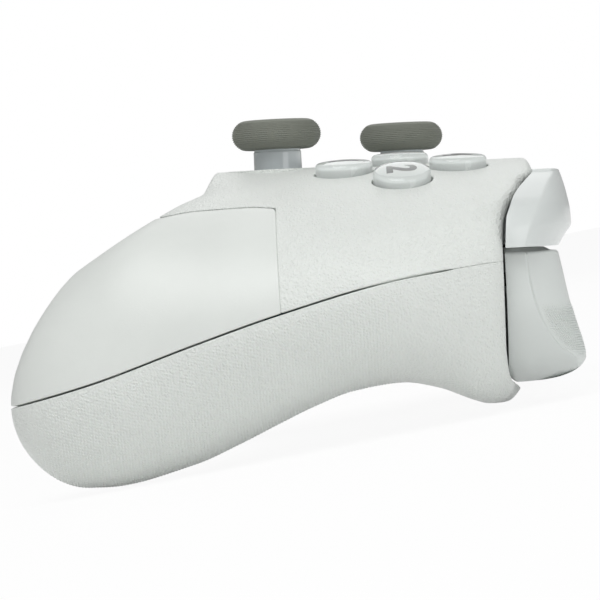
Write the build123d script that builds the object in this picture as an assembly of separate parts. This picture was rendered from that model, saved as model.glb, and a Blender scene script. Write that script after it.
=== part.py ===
"""Gamepad controller: two grips, offset sticks, face buttons, bumpers and swinging triggers.

Millimetres. The pad is drawn in its own square frame, +X to the player's right, +Y towards the
triggers and +Z along the stick axes, and is then laid on the table: the grips and the two horns
below the triggers touch it, so the face leans forward by the rest tilt. The origin is the
middle of the finished pad's footprint, on the table.
"""

from build123d import *

import math
import os

import numpy as np

# Body: overall sizes
half_width = 77.0
grip_reach = 53.9
front_reach = 47.0
face_height = 25.7
grip_depth = 32.2
horn_depth = 20.9
horn_y = 38.4
grip_low_y = -37.0
centre_depth = 12.0
wall = 2.0
seam_gap = 0.3
overrun = 30.0

# Body: rounding of the shells from their outline inwards
grip_round = 14.5
side_round_top = 52.0
side_round_bottom = 24.0
horn_round = 14.0
chin_round = 5.0
front_round = 3.0
grip_inner_x = 24.0
face_shoulder_x = 42.0

# Shoulder: where the shells end and the bumpers and triggers begin
shoulder_y = 38.3
bridge_half_width = 21.0
shoulder_gap = 0.45
bridge_gap = 0.3

# Sticks
right_stick_x = 20.0
right_stick_y = -2.7
left_stick_x = -41.0
left_stick_y = 22.3
stick_centre_height = 32.6
cap_radius = 8.7
cap_thickness = 5.8
cap_dish_depth = 1.2
stem_radius = 4.65
stem_foot_radius = 5.0
pivot_depth = 8.2
stick_hole_radius = 11.0
stick_shaft_radius = 2.0
stick_tilt_limit = 16.0
stick_click = 0.4
ring_width = 2.2
ring_height = 0.7
ring_gap = 0.1

# Stick module
module_size = 15.6
module_wall = 0.6
module_top_above_pivot = 4.2
rocker_thickness = 1.2
rocker_inner = 9.2
rocker_height = 3.0
trunnion_radius = 0.9
trunnion_play = 0.05
pivot_block_size = 6.6
pivot_block_height = 5.2
shaft_play = 0.06

# Face buttons
cluster_x = 40.0
cluster_y = 20.9
cluster_pitch = 10.8
button_radius = 5.45
button_rise = 2.3
button_dome_radius = 30.0
button_gap = 0.3
button_travel = 1.3
button_flange = 1.0
button_flange_thickness = 0.9

# Direction pad
dpad_x = -20.0
dpad_y = -2.7
dpad_disc_radius = 10.6
dpad_arm_width = 6.6
dpad_arm_length = 18.6
dpad_dish_depth = 1.5
dpad_cross_rise = 1.3
dpad_skirt = 3.2
dpad_tilt_limit = 3.0

# Small buttons
small_radius = 2.4
small_rise = 0.4
small_travel = 0.4
small_y = 18.6
small_x = 11.5
home_radius = 5.2
home_y = 33.0
capture_y = 9.6

# Boards and carriers
board_top = 11.6
board_thickness = 1.2
board_half_width = 58.0
board_front = 33.5
board_back = -13.0
membrane_thickness = 1.6
membrane_dome = 1.6
clearance = 0.3
screw_radius = 1.4
screw_head_radius = 2.4
screw_head_height = 1.6
screw_length = 9.0
boss_radius = 3.0

# Battery
battery_length = 46.0
battery_width = 30.0
battery_height = 7.6
battery_y = 8.0

# Rumble motors
motor_x = 54.0
motor_y = -27.0
motor_z = -10.0
motor_radius = 6.0
motor_length = 12.0
motor_shaft_radius = 0.9
weight_radius = 6.4
weight_length = 5.0
shaft_clearance = 0.05

# Triggers
trigger_inner_x = 31.0
trigger_outer_gap = 0.5
trigger_wall = 1.7
trigger_corner = 8.6
trigger_top = 7.2
trigger_bottom = -16.6
trigger_pivot_y = 42.2
trigger_pivot_z = 2.6
trigger_pin_radius = 1.2
trigger_pin_play = 0.05
trigger_swing = 17.0
trigger_hub_radius = 2.9

# Bumpers
bumper_inner_x = 21.6
bumper_wall = 1.6
bumper_pivot_y = 39.6
bumper_pivot_z = 9.9
bumper_swing = 2.5

# USB socket
usb_width = 8.94
usb_height = 3.26
usb_depth = 7.2
usb_z = 13.3
usb_wall = 0.35
usb_recess = 0.6

# Bridge between the bumpers
bridge_y = 40.2
bridge_top = 22.3
bridge_bottom = -3.0

# Chin of the rear shell between the triggers
chin_gap = 0.4
cheek_back = 32.0
cheek_front = 45.2
swing_back = 32.8
room_outer_x = 46.0
trigger_play = 0.9

# Grip covers
cover_edge_y = -2.9
cover_lean = 1.6
cover_inner_x = 24.5

# Fits of the small pieces
flange_gap = 0.25
leg_gap = 0.15
leg_radius = 3.2
small_leg_radius = 1.5
membrane_top = 13.8
membrane_radius = 3.4
membrane_sheet = 1.0
switch_height = 1.5
switch_size = 3.6
dpad_gap = 0.5
dpad_sink = 0.1
dpad_pivot_z = 20.8
dpad_flange_gap = 1.9
dpad_flange = 0.9
dpad_dish_radius = 60.0
dpad_post_gap = 0.3
dpad_post_radius = 1.6
hub_radius = 3.0
hub_height = 1.0
hub_gap = 0.4
module_mouth_radius = 6.4
stem_sink = 1.2
stem_flare = 1.4
stem_plug = 2.2
stem_plug_radius = 3.0
cap_groove = 0.12
trigger_inner_corner = 4.0
trigger_tip_share = 0.72
trigger_ear = 2.0
trigger_ear_inner = 38.0
trigger_ear_outer = 56.0
pin_end = 0.6
lug_inner = 40.5
lug_outer = 52.5
lug_width = 3.0
lug_radius = 2.4
spring_outer = 2.2
frame_half_width = 58.0
frame_back = 33.8
frame_thickness = 1.8
frame_bottom = -3.6
frame_top = 8.0
bumper_inset = 0.1
tongue_half_width = 8.0
tongue_front = 44.0
usb_round_share = 0.42
battery_floor = -9.6
battery_round_share = 0.3
rib_thickness = 1.6
rib_share = 0.9
weight_gap = 0.6
weight_hub_radius = 2.2
screw_back_x = 36.0
screw_back_y = -8.0
screw_front_x = 21.0
screw_front_y = 28.5
screw_seat = 7.4
screw_head_gap = 1.2
label_half_width = 18.0
label_back = 0.0
label_front = 28.0
label_rise = 0.4

# Shares of the overall sizes, chosen by hand

# Seam between front and rear shell, from the grip tips to the shoulders: (y / grip_reach, z / face_height)
seam_shares = [
    (-1.10, -0.690),
    (-1.00, -0.645),
    (-0.70, -0.490),
    (-0.35, -0.250),
    (-0.05, -0.058),
    (0.34, 0.142),
    (0.53, 0.198),
    (0.70, 0.236),
    (1.00, 0.262),
]
# Crown of the grips, before rounding: (y / grip_reach, z / face_height)
crown_shares = [
    (-1.10, -0.130),
    (-1.00, -0.010),
    (-0.76, 0.300),
    (-0.48, 0.680),
    (-0.36, 0.815),
    (-0.15, 0.935),
    (0.10, 0.990),
    (0.40, 1.000),
    (1.00, 1.000),
]
# Underside of the grips, finger hollow and horn: (y / grip_reach, -z / grip_depth)
underside_shares = [
    (-1.10, 0.985),
    (-1.00, 0.995),
    (-0.85, 1.002),
    (-0.68, 1.000),
    (-0.37, 0.893),
    (-0.22, 0.795),
    (-0.08, 0.690),
    (0.05, 0.595),
    (0.19, 0.517),
    (0.36, 0.482),
    (0.47, 0.515),
    (0.60, 0.603),
    (0.66, 0.637),
    (0.72, 0.645),
    (0.76, 0.610),
    (0.80, 0.520),
    (0.90, 0.420),
]
# Plan outline between the grips: (x / half_width, y / grip_reach)
arch_shares = [
    (0.00, -0.352),
    (0.12, -0.355),
    (0.25, -0.368),
    (0.33, -0.415),
    (0.40, -0.505),
    (0.46, -0.620),
    (0.52, -0.765),
    (0.575, -0.895),
    (0.64, -0.975),
    (0.72, -1.000),
]
# Plan outline round the grip's outer side up to the front: (x / half_width, y / grip_reach)
flank_shares = [
    (0.72, -1.000),
    (0.80, -0.975),
    (0.865, -0.890),
    (0.915, -0.740),
    (0.950, -0.530),
    (0.982, -0.250),
    (0.998, 0.030),
    (1.000, 0.190),
    (0.990, 0.400),
    (0.960, 0.590),
    (0.920, 0.710),
    (0.850, 0.810),
    (0.760, 0.870),
    (0.700, 0.885),
]
# Cross sections of the body: x / half_width
station_shares = [
    0.0, 0.10, 0.19, 0.27, 0.33, 0.39, 0.45, 0.51, 0.57, 0.63, 0.69, 0.75, 0.80,
    0.85, 0.89, 0.925, 0.953, 0.974, 0.988, 0.9965,
]
# Sections of the solid ends beyond the hollow: share of the way to half_width
end_station_shares = [0.0, 0.30, 0.60, 0.88]
# Where the shells stop, from the face down to the horn: (y / front_reach, z / face_height)
shoulder_shares = [
    (0.970, 0.876),
    (0.934, 0.842),
    (0.891, 0.768),
    (0.862, 0.700),
    (0.838, 0.612),
    (0.824, 0.530),
    (0.815, 0.360),
    (0.812, -0.366),
    (0.822, -0.582),
    (0.842, -0.676),
    (0.885, -0.724),
]
shoulder_drop_share = 0.5
# Upper edge of the grip covers: (y / grip_reach, z / face_height)
cover_shares = [
    (-1.60, 0.560),
    (-0.70, 0.640),
    (-0.47, 0.672),
    (-0.33, 0.708),
    (-0.14, 0.716),
    (-0.055, 0.700),
]
# Side outline of the bumper's front, top first: (y / front_reach, z / face_height)
bumper_face_shares = [
    (0.824, 0.337),
    (1.030, 0.322),
    (1.060, 0.420),
    (1.078, 0.478),
    (1.078, 0.590),
    (1.072, 0.695),
    (1.060, 0.805),
    (1.047, 0.852),
    (0.985, 0.856),
]
# Plan outline of the bumper's front: (x / half_width, y / front_reach)
bumper_plan_shares = [
    (0.14, 1.100),
    (0.60, 1.085),
    (0.70, 1.055),
    (0.78, 1.000),
    (0.85, 0.930),
    (0.90, 0.860),
    (0.93, 0.780),
]
# Middle of the trigger's finger face, from the tip up: (z / grip_depth, y / front_reach)
trigger_face_shares = [
    (-0.62, 1.095),
    (-0.39, 1.100),
    (-0.34, 1.095),
    (-0.28, 1.082),
    (-0.20, 1.066),
    (-0.12, 1.048),
    (-0.03, 1.035),
    (0.07, 1.026),
    (0.16, 1.018),
    (0.24, 1.010),
]
# Underside of the trigger from its tip back: (y / front_reach, z / grip_depth)
trigger_under_shares = [
    (1.110, -0.385),
    (1.098, -0.425),
    (1.068, -0.468),
    (1.010, -0.496),
    (0.930, -0.513),
    (0.865, -0.518),
    (0.830, -0.480),
    (0.810, -0.440),
]
outline_steps = 300
section_steps = 400
shoulder_points = 14
ring_steps = 12
trigger_sections = 8
bumper_curve_points = 7
cap_ribs = 9
cap_band = 1.0
section_points = 24
run_share = 0.6
end_searches = 40
end_points = 8

face_power = 1.85
grip_power = 2.0
chin_power = 3.0

pieces = {}


def curve_through(places, at):
    """A smooth curve through places, without overshoot."""
    xs = np.array([p[0] for p in places])
    ys = np.array([p[1] for p in places])
    step = np.diff(xs)
    rise = np.diff(ys) / step
    slope = np.zeros(len(xs))
    for i in range(1, len(xs) - 1):
        if rise[i - 1] * rise[i] > 0:
            slope[i] = 2 * rise[i - 1] * rise[i] / (rise[i - 1] + rise[i])
    slope[0] = rise[0]
    slope[-1] = rise[-1]
    at = np.clip(np.asarray(at, float), xs[0], xs[-1])
    k = np.clip(np.searchsorted(xs, at) - 1, 0, len(step) - 1)
    t = (at - xs[k]) / step[k]
    lift = ys[k] * (1 + 2 * t) * (1 - t) ** 2 + ys[k + 1] * t**2 * (3 - 2 * t)
    return lift + step[k] * (slope[k] * t * (1 - t) ** 2 - slope[k + 1] * t**2 * (1 - t))


def plan_curve(shares):
    """A plan outline as a dense line, smooth along its length."""
    points = np.array([(x * half_width, y * grip_reach) for x, y in shares])
    run = np.concatenate([[0], np.cumsum(np.hypot(*np.diff(points, axis=0).T))])
    at = np.linspace(0, run[-1], outline_steps)
    x = spline_values(run, points[:, 0], at)
    y = spline_values(run, points[:, 1], at)
    return np.column_stack([x, y])


def spline_values(knots, values, at):
    """Natural cubic spline through values at knots."""
    count = len(knots)
    step = np.diff(knots)
    matrix = np.eye(count)
    side = np.zeros(count)
    for i in range(1, count - 1):
        matrix[i, i - 1 : i + 2] = [step[i - 1], 2 * (step[i - 1] + step[i]), step[i]]
        side[i] = 3 * ((values[i + 1] - values[i]) / step[i] - (values[i] - values[i - 1]) / step[i - 1])
    bend = np.linalg.solve(matrix, side)
    k = np.clip(np.searchsorted(knots, at) - 1, 0, count - 2)
    u = at - knots[k]
    first = (values[k + 1] - values[k]) / step[k] - step[k] * (2 * bend[k] + bend[k + 1]) / 3
    return values[k] + first * u + bend[k] * u**2 + (bend[k + 1] - bend[k]) / (3 * step[k]) * u**3


def distance_to(line, x, y):
    """Shortest plan distance from each place to a dense line."""
    x = np.broadcast_to(x, np.shape(y)).astype(float)
    start = line[None, :-1]
    run = np.diff(line, axis=0)[None]
    along = (x[:, None] - start[..., 0]) * run[..., 0] + (y[:, None] - start[..., 1]) * run[..., 1]
    along = np.clip(along / (run**2).sum(axis=2), 0, 1)
    off_x = x[:, None] - start[..., 0] - along * run[..., 0]
    off_y = y[:, None] - start[..., 1] - along * run[..., 1]
    return np.hypot(off_x, off_y).min(axis=1)


def blend(value, start, end):
    """0 before start, 1 after end, smooth between them."""
    t = np.clip((value - start) / (end - start), 0, 1)
    return t * t * (3 - 2 * t)


def rounding(share, power):
    """Height share of a rounded edge at a share of its width."""
    t = np.clip(share, 0, 1)
    return (1 - (1 - t) ** power) ** (1 / power)


arch = plan_curve(arch_shares)
flank = plan_curve(flank_shares)


def seam_height(y):
    return face_height * curve_through(seam_shares, np.asarray(y) / grip_reach)


def plan_gaps(x, y):
    """Distances to the arch between the grips, to the outer flank and to the front."""
    x = np.abs(np.atleast_1d(x))
    return distance_to(arch, x, y), distance_to(flank, x, y), front_reach - y


def top_height(x, y, inset=0.0):
    """Height of the body's upper surface over plan places, inset by a wall."""
    x = np.broadcast_to(np.abs(x), np.shape(y)).astype(float)
    from_arch, from_flank, from_front = plan_gaps(x, y)
    grip_share = blend(x, grip_inner_x, face_shoulder_x)
    crown = face_height * curve_through(crown_shares, y / grip_reach)
    crown = face_height * (1 - grip_share) + crown * grip_share - inset
    side_round = grip_round + (side_round_top - grip_round) * blend(y, -0.65 * grip_reach, 0)
    inner_round = chin_round + (grip_round - chin_round) * grip_share
    power = chin_power + (grip_power - chin_power) * grip_share
    side = rounding((from_flank - inset) / side_round, face_power)
    inner = rounding((from_arch - inset) / inner_round, power)
    front = rounding((from_front - inset) / front_round, chin_power)
    seam = seam_height(y)
    return seam + (crown - seam) * np.minimum(side, inner) * front


def bottom_height(x, y, inset=0.0):
    """Height of the body's lower surface over plan places, inset by a wall."""
    x = np.broadcast_to(np.abs(x), np.shape(y)).astype(float)
    from_arch, from_flank, from_front = plan_gaps(x, y)
    grip_share = blend(x, grip_inner_x, 0.62 * half_width)
    under = -grip_depth * curve_through(underside_shares, y / grip_reach)
    under = -centre_depth * (1 - grip_share) + under * grip_share + inset
    side_round = grip_round + (side_round_bottom - grip_round) * blend(y, -0.65 * grip_reach, 0)
    side_round = side_round + (horn_round - side_round) * blend(y, 0.2 * grip_reach, 0.6 * grip_reach)
    inner_round = chin_round + (grip_round - chin_round) * grip_share
    side = rounding((from_flank - inset) / side_round, grip_power)
    inner = rounding((from_arch - inset) / inner_round, grip_power)
    front = rounding((from_front - inset) / front_round, chin_power)
    seam = seam_height(y)
    return seam - (seam - under) * np.minimum(side, inner) * front


def resampled(y, z, count):
    """Places along a half section, even in both its run and its sweep angle."""
    run = np.concatenate([[0], np.cumsum(np.hypot(np.diff(y), np.diff(z)))])
    sweep = np.linspace(0, 1, len(y))
    weight = run_share * run / run[-1] + (1 - run_share) * sweep
    at = np.linspace(0, 1, count)
    return np.interp(at, weight, y), np.interp(at, weight, z)


def outline_ends(x):
    """Lowest and highest y of the body's plan outline at one station."""
    x = abs(x)
    widest = int(np.argmax(flank[:, 0]))
    low = np.interp(x, flank[: widest + 1, 0], flank[: widest + 1, 1])
    if x <= arch[-1, 0]:
        low = np.interp(x, arch[:, 0], arch[:, 1])
    high = front_reach
    if x > flank[-1, 0]:
        high = np.interp(x, flank[widest:, 0][::-1], flank[widest:, 1][::-1])
    return low, high


def inset_end(x, outer, inner, inset):
    """Where the plan distance to the outline reaches the inset, between outer and inner."""
    for _ in range(end_searches):
        middle = np.array([(outer + inner) / 2])
        if min(float(gap[0]) for gap in plan_gaps(x, middle)) > inset:
            inner = middle[0]
        else:
            outer = middle[0]
    return inner


def half_section(x, inset):
    """Upper and lower line of the body's section at one station, each from back to front."""
    low, high = outline_ends(x)
    if inset > 0:
        tries = np.linspace(low, high, section_steps)
        gaps = plan_gaps(np.full_like(tries, x), tries)
        deepest = tries[int(np.argmax(np.minimum(np.minimum(gaps[0], gaps[1]), gaps[2])))]
        low = inset_end(x, low, deepest, inset)
        high = inset_end(x, high, deepest, inset)
    angle = np.linspace(0, math.pi, section_steps)
    y = low + (high - low) * (1 - np.cos(angle)) / 2
    top = top_height(x, y, inset)
    bottom = bottom_height(x, y, inset)
    top[0] = bottom[0] = seam_height(low)
    top[-1] = bottom[-1] = seam_height(high)
    return resampled(y, top, section_points), resampled(y, bottom, section_points)


def half_line(x, inset, upwards):
    """The body's line above or below the seam at one station, and the seam's level along it."""
    y, z = half_section(x, inset)[0 if upwards > 0 else 1]
    level = seam_height(y) + upwards * seam_gap / 2
    z = level + upwards * np.maximum(upwards * (z - level), 0)
    level[0] = z[0]
    level[-1] = z[-1]
    return y, z, level


def even_spline(x, y, z):
    """A smooth edge through the places of one station, with even parameters."""
    return Edge.make_spline([Vector(x, y[i], z[i]) for i in range(len(y))], parameters=range(len(y)))


def ring_wire(x, skin, inner):
    """Closed wire of a skin line, an inner line and the two short edges that join their ends."""
    y, z = skin
    back_y, back_z = inner
    edges = [even_spline(x, y, z), Edge.make_line(Vector(x, y[-1], z[-1]), Vector(x, back_y[0], back_z[0]))]
    edges += [even_spline(x, back_y, back_z), Edge.make_line(Vector(x, back_y[-1], back_z[-1]), Vector(x, y[0], z[0]))]
    return Wire(edges)


def seam_line(y_front, y_back, upwards):
    y = np.linspace(y_front, y_back, end_points)
    return y, seam_height(y) + upwards * seam_gap / 2


def shell_half(upwards):
    """The hollow half of the body above or below its seam.

    Its middle is a loft of arch-shaped rings. Beyond the reach of the hollow each end is solid,
    and the faces of the three are sewn together.
    """
    reach = half_width - wall
    end = station_shares[-1] * reach
    rings = []
    for share in [-s for s in station_shares[:0:-1]] + station_shares:
        x = share * reach
        y, z, level = half_line(x, 0, upwards)
        inner_y, inner_z, level = half_line(x, wall, upwards)
        rings.append(ring_wire(x, (y, z), (inner_y[::-1], inner_z[::-1])))
    faces = open_faces(Solid.make_loft(rings), end)
    for side in (1, -1):
        outer_y = half_line(end * side, 0, upwards)[0]
        inner_y, inner_z, level = half_line(end * side, wall, upwards)
        spread = outer_y[-1] - outer_y[0]
        rings = []
        for share in end_station_shares:
            x = side * (end + (half_width - end) * share)
            y, z, level = half_line(x, 0, upwards)
            places = [y[0] + (at - outer_y[0]) / spread * (y[-1] - y[0]) for at in (inner_y[-1], inner_y[0])]
            rings.append(ring_wire(x, (y, z), seam_line(*places, upwards)))
        faces += open_faces(Solid.make_loft(rings), end)
        floor = even_spline(end * side, *seam_line(inner_y[-1], inner_y[0], upwards))
        faces.append(Face(Wire([even_spline(end * side, inner_y, inner_z), floor])))
    return Solid(Shell(faces))


def open_faces(solid, end):
    """The faces of a solid but for the flat ones that close it at the stations beside an end."""
    flat = solid.faces().filter_by(GeomType.PLANE)
    closing = [face for face in flat if math.isclose(abs(face.center().X), end)]
    return [face for face in solid.faces() if face not in closing]


def block(x, y, z):
    """A box between two places on each axis."""
    sizes = [end - start for start, end in (x, y, z)]
    return Pos((x[0] + x[1]) / 2, (y[0] + y[1]) / 2, (z[0] + z[1]) / 2) * Box(*sizes)


def upright(x, y, bottom, top, radius):
    """A cylinder along Z."""
    return Pos(x, y, (bottom + top) / 2) * Cylinder(radius, top - bottom)


def crosswise(start, end, y, z, radius):
    """A cylinder along X."""
    return Pos((start + end) / 2, y, z) * Rot(0, 90, 0) * Cylinder(radius, end - start)


def lengthwise(x, start, end, z, radius):
    """A cylinder along Y."""
    return Pos(x, (start + end) / 2, z) * Rot(90, 0, 0) * Cylinder(radius, end - start)


def closed_face(curve, corners):
    """A face bounded by a smooth curve through places, closed over corners."""
    edges = [Edge.make_spline(curve)]
    run = [curve[-1], *corners, curve[0]]
    edges += [Edge.make_line(run[i], run[i + 1]) for i in range(len(run) - 1)]
    return Face(Wire(edges))


def side_prism(curve, corners, start, end):
    """A side outline of (y, z) places drawn through from one x to another."""
    curve = [Vector(start, y, z) for y, z in curve]
    corners = [Vector(start, y, z) for y, z in corners]
    return Solid.extrude(closed_face(curve, corners), Vector(end - start, 0, 0))


def plan_prism(curve, corners, bottom, top):
    """A plan outline of (x, y) places drawn through from one height to another."""
    curve = [Vector(x, y, bottom) for x, y in curve]
    corners = [Vector(x, y, bottom) for x, y in corners]
    return Solid.extrude(closed_face(curve, corners), Vector(0, 0, top - bottom))


def flank_reach(y, inset):
    """How far out the body reaches at one y, inset by a wall."""
    outer = float(np.interp(y, flank[:, 1], flank[:, 0]))
    inner = bridge_half_width
    for _ in range(end_searches):
        middle = (outer + inner) / 2
        if float(plan_gaps(middle, np.array([y]))[1][0]) > inset:
            inner = middle
        else:
            outer = middle
    return inner


def shoulder_section(inset):
    """Outline of the body's cross section at the shoulder, as x, top and bottom heights."""
    reach = flank_reach(shoulder_y, inset)
    angle = np.linspace(0, math.pi / 2, shoulder_points)
    x = reach * np.sin(angle)
    y = np.full_like(x, shoulder_y)
    top = np.array([surface_at(px, shoulder_y, inset) for px in x])
    bottom = np.array([underside_at(px, shoulder_y, inset) for px in x])
    top[-1] = bottom[-1] = seam_height(shoulder_y)
    return x, top, bottom


def surface_at(x, y, inset=0.0):
    return float(top_height(x, np.array([y]), inset)[0])


def underside_at(x, y, inset=0.0):
    return float(bottom_height(x, np.array([y]), inset)[0])


def surface_normal(x, y):
    """Unit normal of the body's upper surface over a plan place."""
    across = surface_at(x - wall, y) - surface_at(x + wall, y)
    along = surface_at(x, y - wall) - surface_at(x, y + wall)
    return Vector(across, along, 4 * wall).normalized()


def largest(shape):
    return shape.solids().sort_by(SortBy.VOLUME)[-1]


def mirrored(solid):
    return mirror(solid, about=Plane.YZ)


def keep(name, solid):
    pieces[name] = solid


# Shells

def shoulder_curve(gap):
    """Side outline where the shells stop, moved towards the front by a gap."""
    return [(y * front_reach + gap, z * face_height - gap * shoulder_drop_share) for y, z in shoulder_shares]


def shoulder_cutter(gap, inner_x):
    """Everything in front of the shoulder, outside the bridge."""
    beyond = front_reach + overrun
    curve = shoulder_curve(gap)
    corners = [(beyond, curve[-1][1]), (beyond, curve[0][1])]
    right = side_prism(curve, corners, inner_x, half_width + overrun)
    return right + mirrored(right)


def cover_cutter(gap):
    """The region of the grip covers, grown by a gap, on both sides."""
    curve = [(y * grip_reach, z * face_height + gap) for y, z in cover_shares]
    edge = cover_edge_y + gap
    floor = -grip_depth - overrun
    curve[-1] = (edge, curve[-1][1])
    corners = [(edge + cover_lean, floor), (-grip_reach - overrun, floor), (-grip_reach - overrun, curve[0][1])]
    right = side_prism(curve, corners, cover_inner_x - gap, half_width + overrun)
    return right + mirrored(right)


def stick_places():
    return [("right", right_stick_x, right_stick_y), ("left", left_stick_x, left_stick_y)]


def face_buttons():
    """Name, x and y of each face button."""
    return [
        ("face_button_1", cluster_x, cluster_y - cluster_pitch),
        ("face_button_2", cluster_x + cluster_pitch, cluster_y),
        ("face_button_3", cluster_x - cluster_pitch, cluster_y),
        ("face_button_4", cluster_x, cluster_y + cluster_pitch),
    ]


def small_buttons():
    """Name, x, y and radius of each small button."""
    return [
        ("minus_button", -small_x, small_y, small_radius),
        ("plus_button", small_x, small_y, small_radius),
        ("capture_button", 0, capture_y, small_radius),
        ("home_button", 0, home_y, home_radius),
    ]


def screw_places():
    return [(x * side, y) for x, y in ((screw_back_x, screw_back_y), (screw_front_x, screw_front_y)) for side in (1, -1)]


def make_shells():
    """Front shell, grip covers, rear shell and bridge, all from one hollow body."""
    upper = largest(shell_half(1) - shoulder_cutter(0, bridge_half_width))
    lower = largest(shell_half(-1) - shoulder_cutter(0, trigger_inner_x - chin_gap))
    beyond = front_reach + overrun
    middle = block((-bridge_half_width, bridge_half_width), (bridge_y, beyond), (bridge_bottom, bridge_top))
    bridge_room, chin_room = [
        block(
            (-bridge_half_width - side_room, bridge_half_width + side_room),
            (bridge_y - bridge_gap, beyond),
            (bridge_bottom - bridge_gap, bridge_top + bridge_gap),
        )
        for side_room in (wall, bridge_gap)
    ]
    socket = block(
        (-usb_width / 2 - bridge_gap, usb_width / 2 + bridge_gap),
        (bridge_y - wall, beyond),
        (usb_z - usb_height / 2 - bridge_gap, usb_z + usb_height / 2 + bridge_gap),
    )
    band = block(
        (-bridge_half_width, bridge_half_width),
        (front_reach - wall, front_reach - bumper_inset),
        (seam_height(front_reach) - wall, seam_height(front_reach) + wall),
    )
    cheek = block(
        (bridge_half_width - rib_thickness, bridge_half_width),
        (bridge_y, front_reach - wall / 2),
        (bridge_bottom, bridge_top),
    )
    keep("bridge", (upper & middle) + [lower & middle, band, cheek, mirrored(cheek)] - socket)
    covers = upper & cover_cutter(0)
    solids = covers.solids().sort_by(Axis.X)
    keep("left_grip_cover", solids[0])
    keep("right_grip_cover", solids[-1])

    sky = face_height + overrun
    holes = [bridge_room, cover_cutter(seam_gap)]
    holes += [upright(x, y, board_top, sky, stick_hole_radius) for side, x, y in stick_places()]
    holes += [upright(x, y, board_top, sky, button_radius + button_gap) for name, x, y in face_buttons()]
    holes += [upright(x, y, board_top, sky, radius + button_gap) for name, x, y, radius in small_buttons()]
    holes += [upright(dpad_x, dpad_y, board_top, sky, dpad_disc_radius + dpad_gap)]
    upper = largest(upper - holes)
    posts = []
    for x, y in screw_places():
        post = upright(x, y, board_top, surface_at(x, y) - wall / 2, boss_radius)
        posts.append(post - upright(x, y, board_top - wall, screw_tip_height(x, y) + clearance, screw_radius))
    keep("front_shell", upper + posts)

    added = [
        block((-label_half_width, label_half_width), (label_back, label_front),
              (-centre_depth - label_rise, -centre_depth + wall / 2)),
    ]
    added += chin_cheeks()
    wells = [chin_room, trigger_room()]
    for x, y in screw_places():
        floor = underside_at(x, y)
        added.append(upright(x, y, floor + wall / 2, board_top - board_thickness, boss_radius + screw_head_gap))
        wells.append(upright(x, y, floor - overrun, screw_seat, screw_head_radius + clearance))
        wells.append(upright(x, y, floor, board_top, screw_radius + clearance))
    for side in (1, -1):
        for x in motor_ribs():
            floor = underside_at(x, motor_y) + wall / 2
            rib = block((x * side - rib_thickness / 2, x * side + rib_thickness / 2),
                        (motor_y - motor_radius * rib_share, motor_y + motor_radius * rib_share),
                        (floor, motor_z))
            added.append(rib - crosswise(-half_width, half_width, motor_y, motor_z, motor_radius))
    keep("rear_shell", (lower + added) - wells)


def chin_cheeks():
    """Walls that close the chin beside each trigger, notched at the back for the cross bar."""
    outside = trigger_inner_x - chin_gap
    floor = underside_at(outside, cheek_front) + wall / 2
    front = block((outside - rib_thickness, outside), (frame_back + frame_thickness + clearance, cheek_front),
                  (floor, seam_height(shoulder_y) - seam_gap))
    below = block((outside - rib_thickness, outside), (cheek_back, cheek_front), (floor, frame_bottom - clearance))
    cheek = front + below
    return [cheek, mirrored(cheek)]


def trigger_room():
    """Space behind the shoulders for the lower ends of the triggers, round their pivot."""
    outside = trigger_inner_x - chin_gap
    reach = math.hypot(shoulder_y - trigger_pivot_y, trigger_bottom - trigger_pivot_z) + trigger_play
    room = crosswise(outside, room_outer_x, trigger_pivot_y, trigger_pivot_z, reach)
    room = room & block((outside, room_outer_x), (swing_back, shoulder_y + wall), (-grip_depth, trigger_pivot_z))
    return room + mirrored(room)


def motor_ribs():
    return [motor_x - motor_length / 2 + rib_thickness, motor_x + motor_length / 2 - rib_thickness]


def screw_tip_height(x, y):
    return screw_seat + screw_length


# Controls

def make_face_buttons():
    """Clear caps whose domed tops lie along the face, each on a flange and a short leg."""
    for name, x, y in face_buttons():
        ring = [surface_at(x + (button_radius + button_flange) * math.cos(a),
                           y + (button_radius + button_flange) * math.sin(a), wall)
                for a in np.linspace(0, 2 * math.pi, ring_steps)]
        flange_top = min(ring) - flange_gap
        flange_bottom = flange_top - button_flange_thickness
        normal = surface_normal(x, y)
        peak = Vector(x, y, surface_at(x, y)) + normal * button_rise
        centre = peak - normal * button_dome_radius
        dome = Pos(centre.X, centre.Y, centre.Z) * Sphere(button_dome_radius)
        cap = upright(x, y, flange_bottom, face_height + button_rise + wall, button_radius) & dome
        cap = cap + upright(x, y, flange_bottom, flange_top, button_radius + button_flange)
        leg_bottom = membrane_top + button_travel + leg_gap
        if leg_bottom < flange_bottom:
            cap = cap + upright(x, y, leg_bottom, flange_bottom + flange_gap, leg_radius)
        keep(name, cap)


def make_small_buttons():
    for name, x, y, radius in small_buttons():
        flange_top = face_height - wall - flange_gap
        flange_bottom = flange_top - button_flange_thickness
        cap = upright(x, y, flange_bottom, face_height + small_rise, radius)
        cap = fillet(cap.edges().sort_by(Axis.Z)[-1:], small_rise / 2)
        cap = cap + upright(x, y, flange_bottom, flange_top, radius + button_flange)
        leg_bottom = board_top + switch_height + small_travel + leg_gap
        cap = cap + upright(x, y, leg_bottom, flange_bottom + flange_gap, small_leg_radius)
        keep(name, cap)


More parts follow.
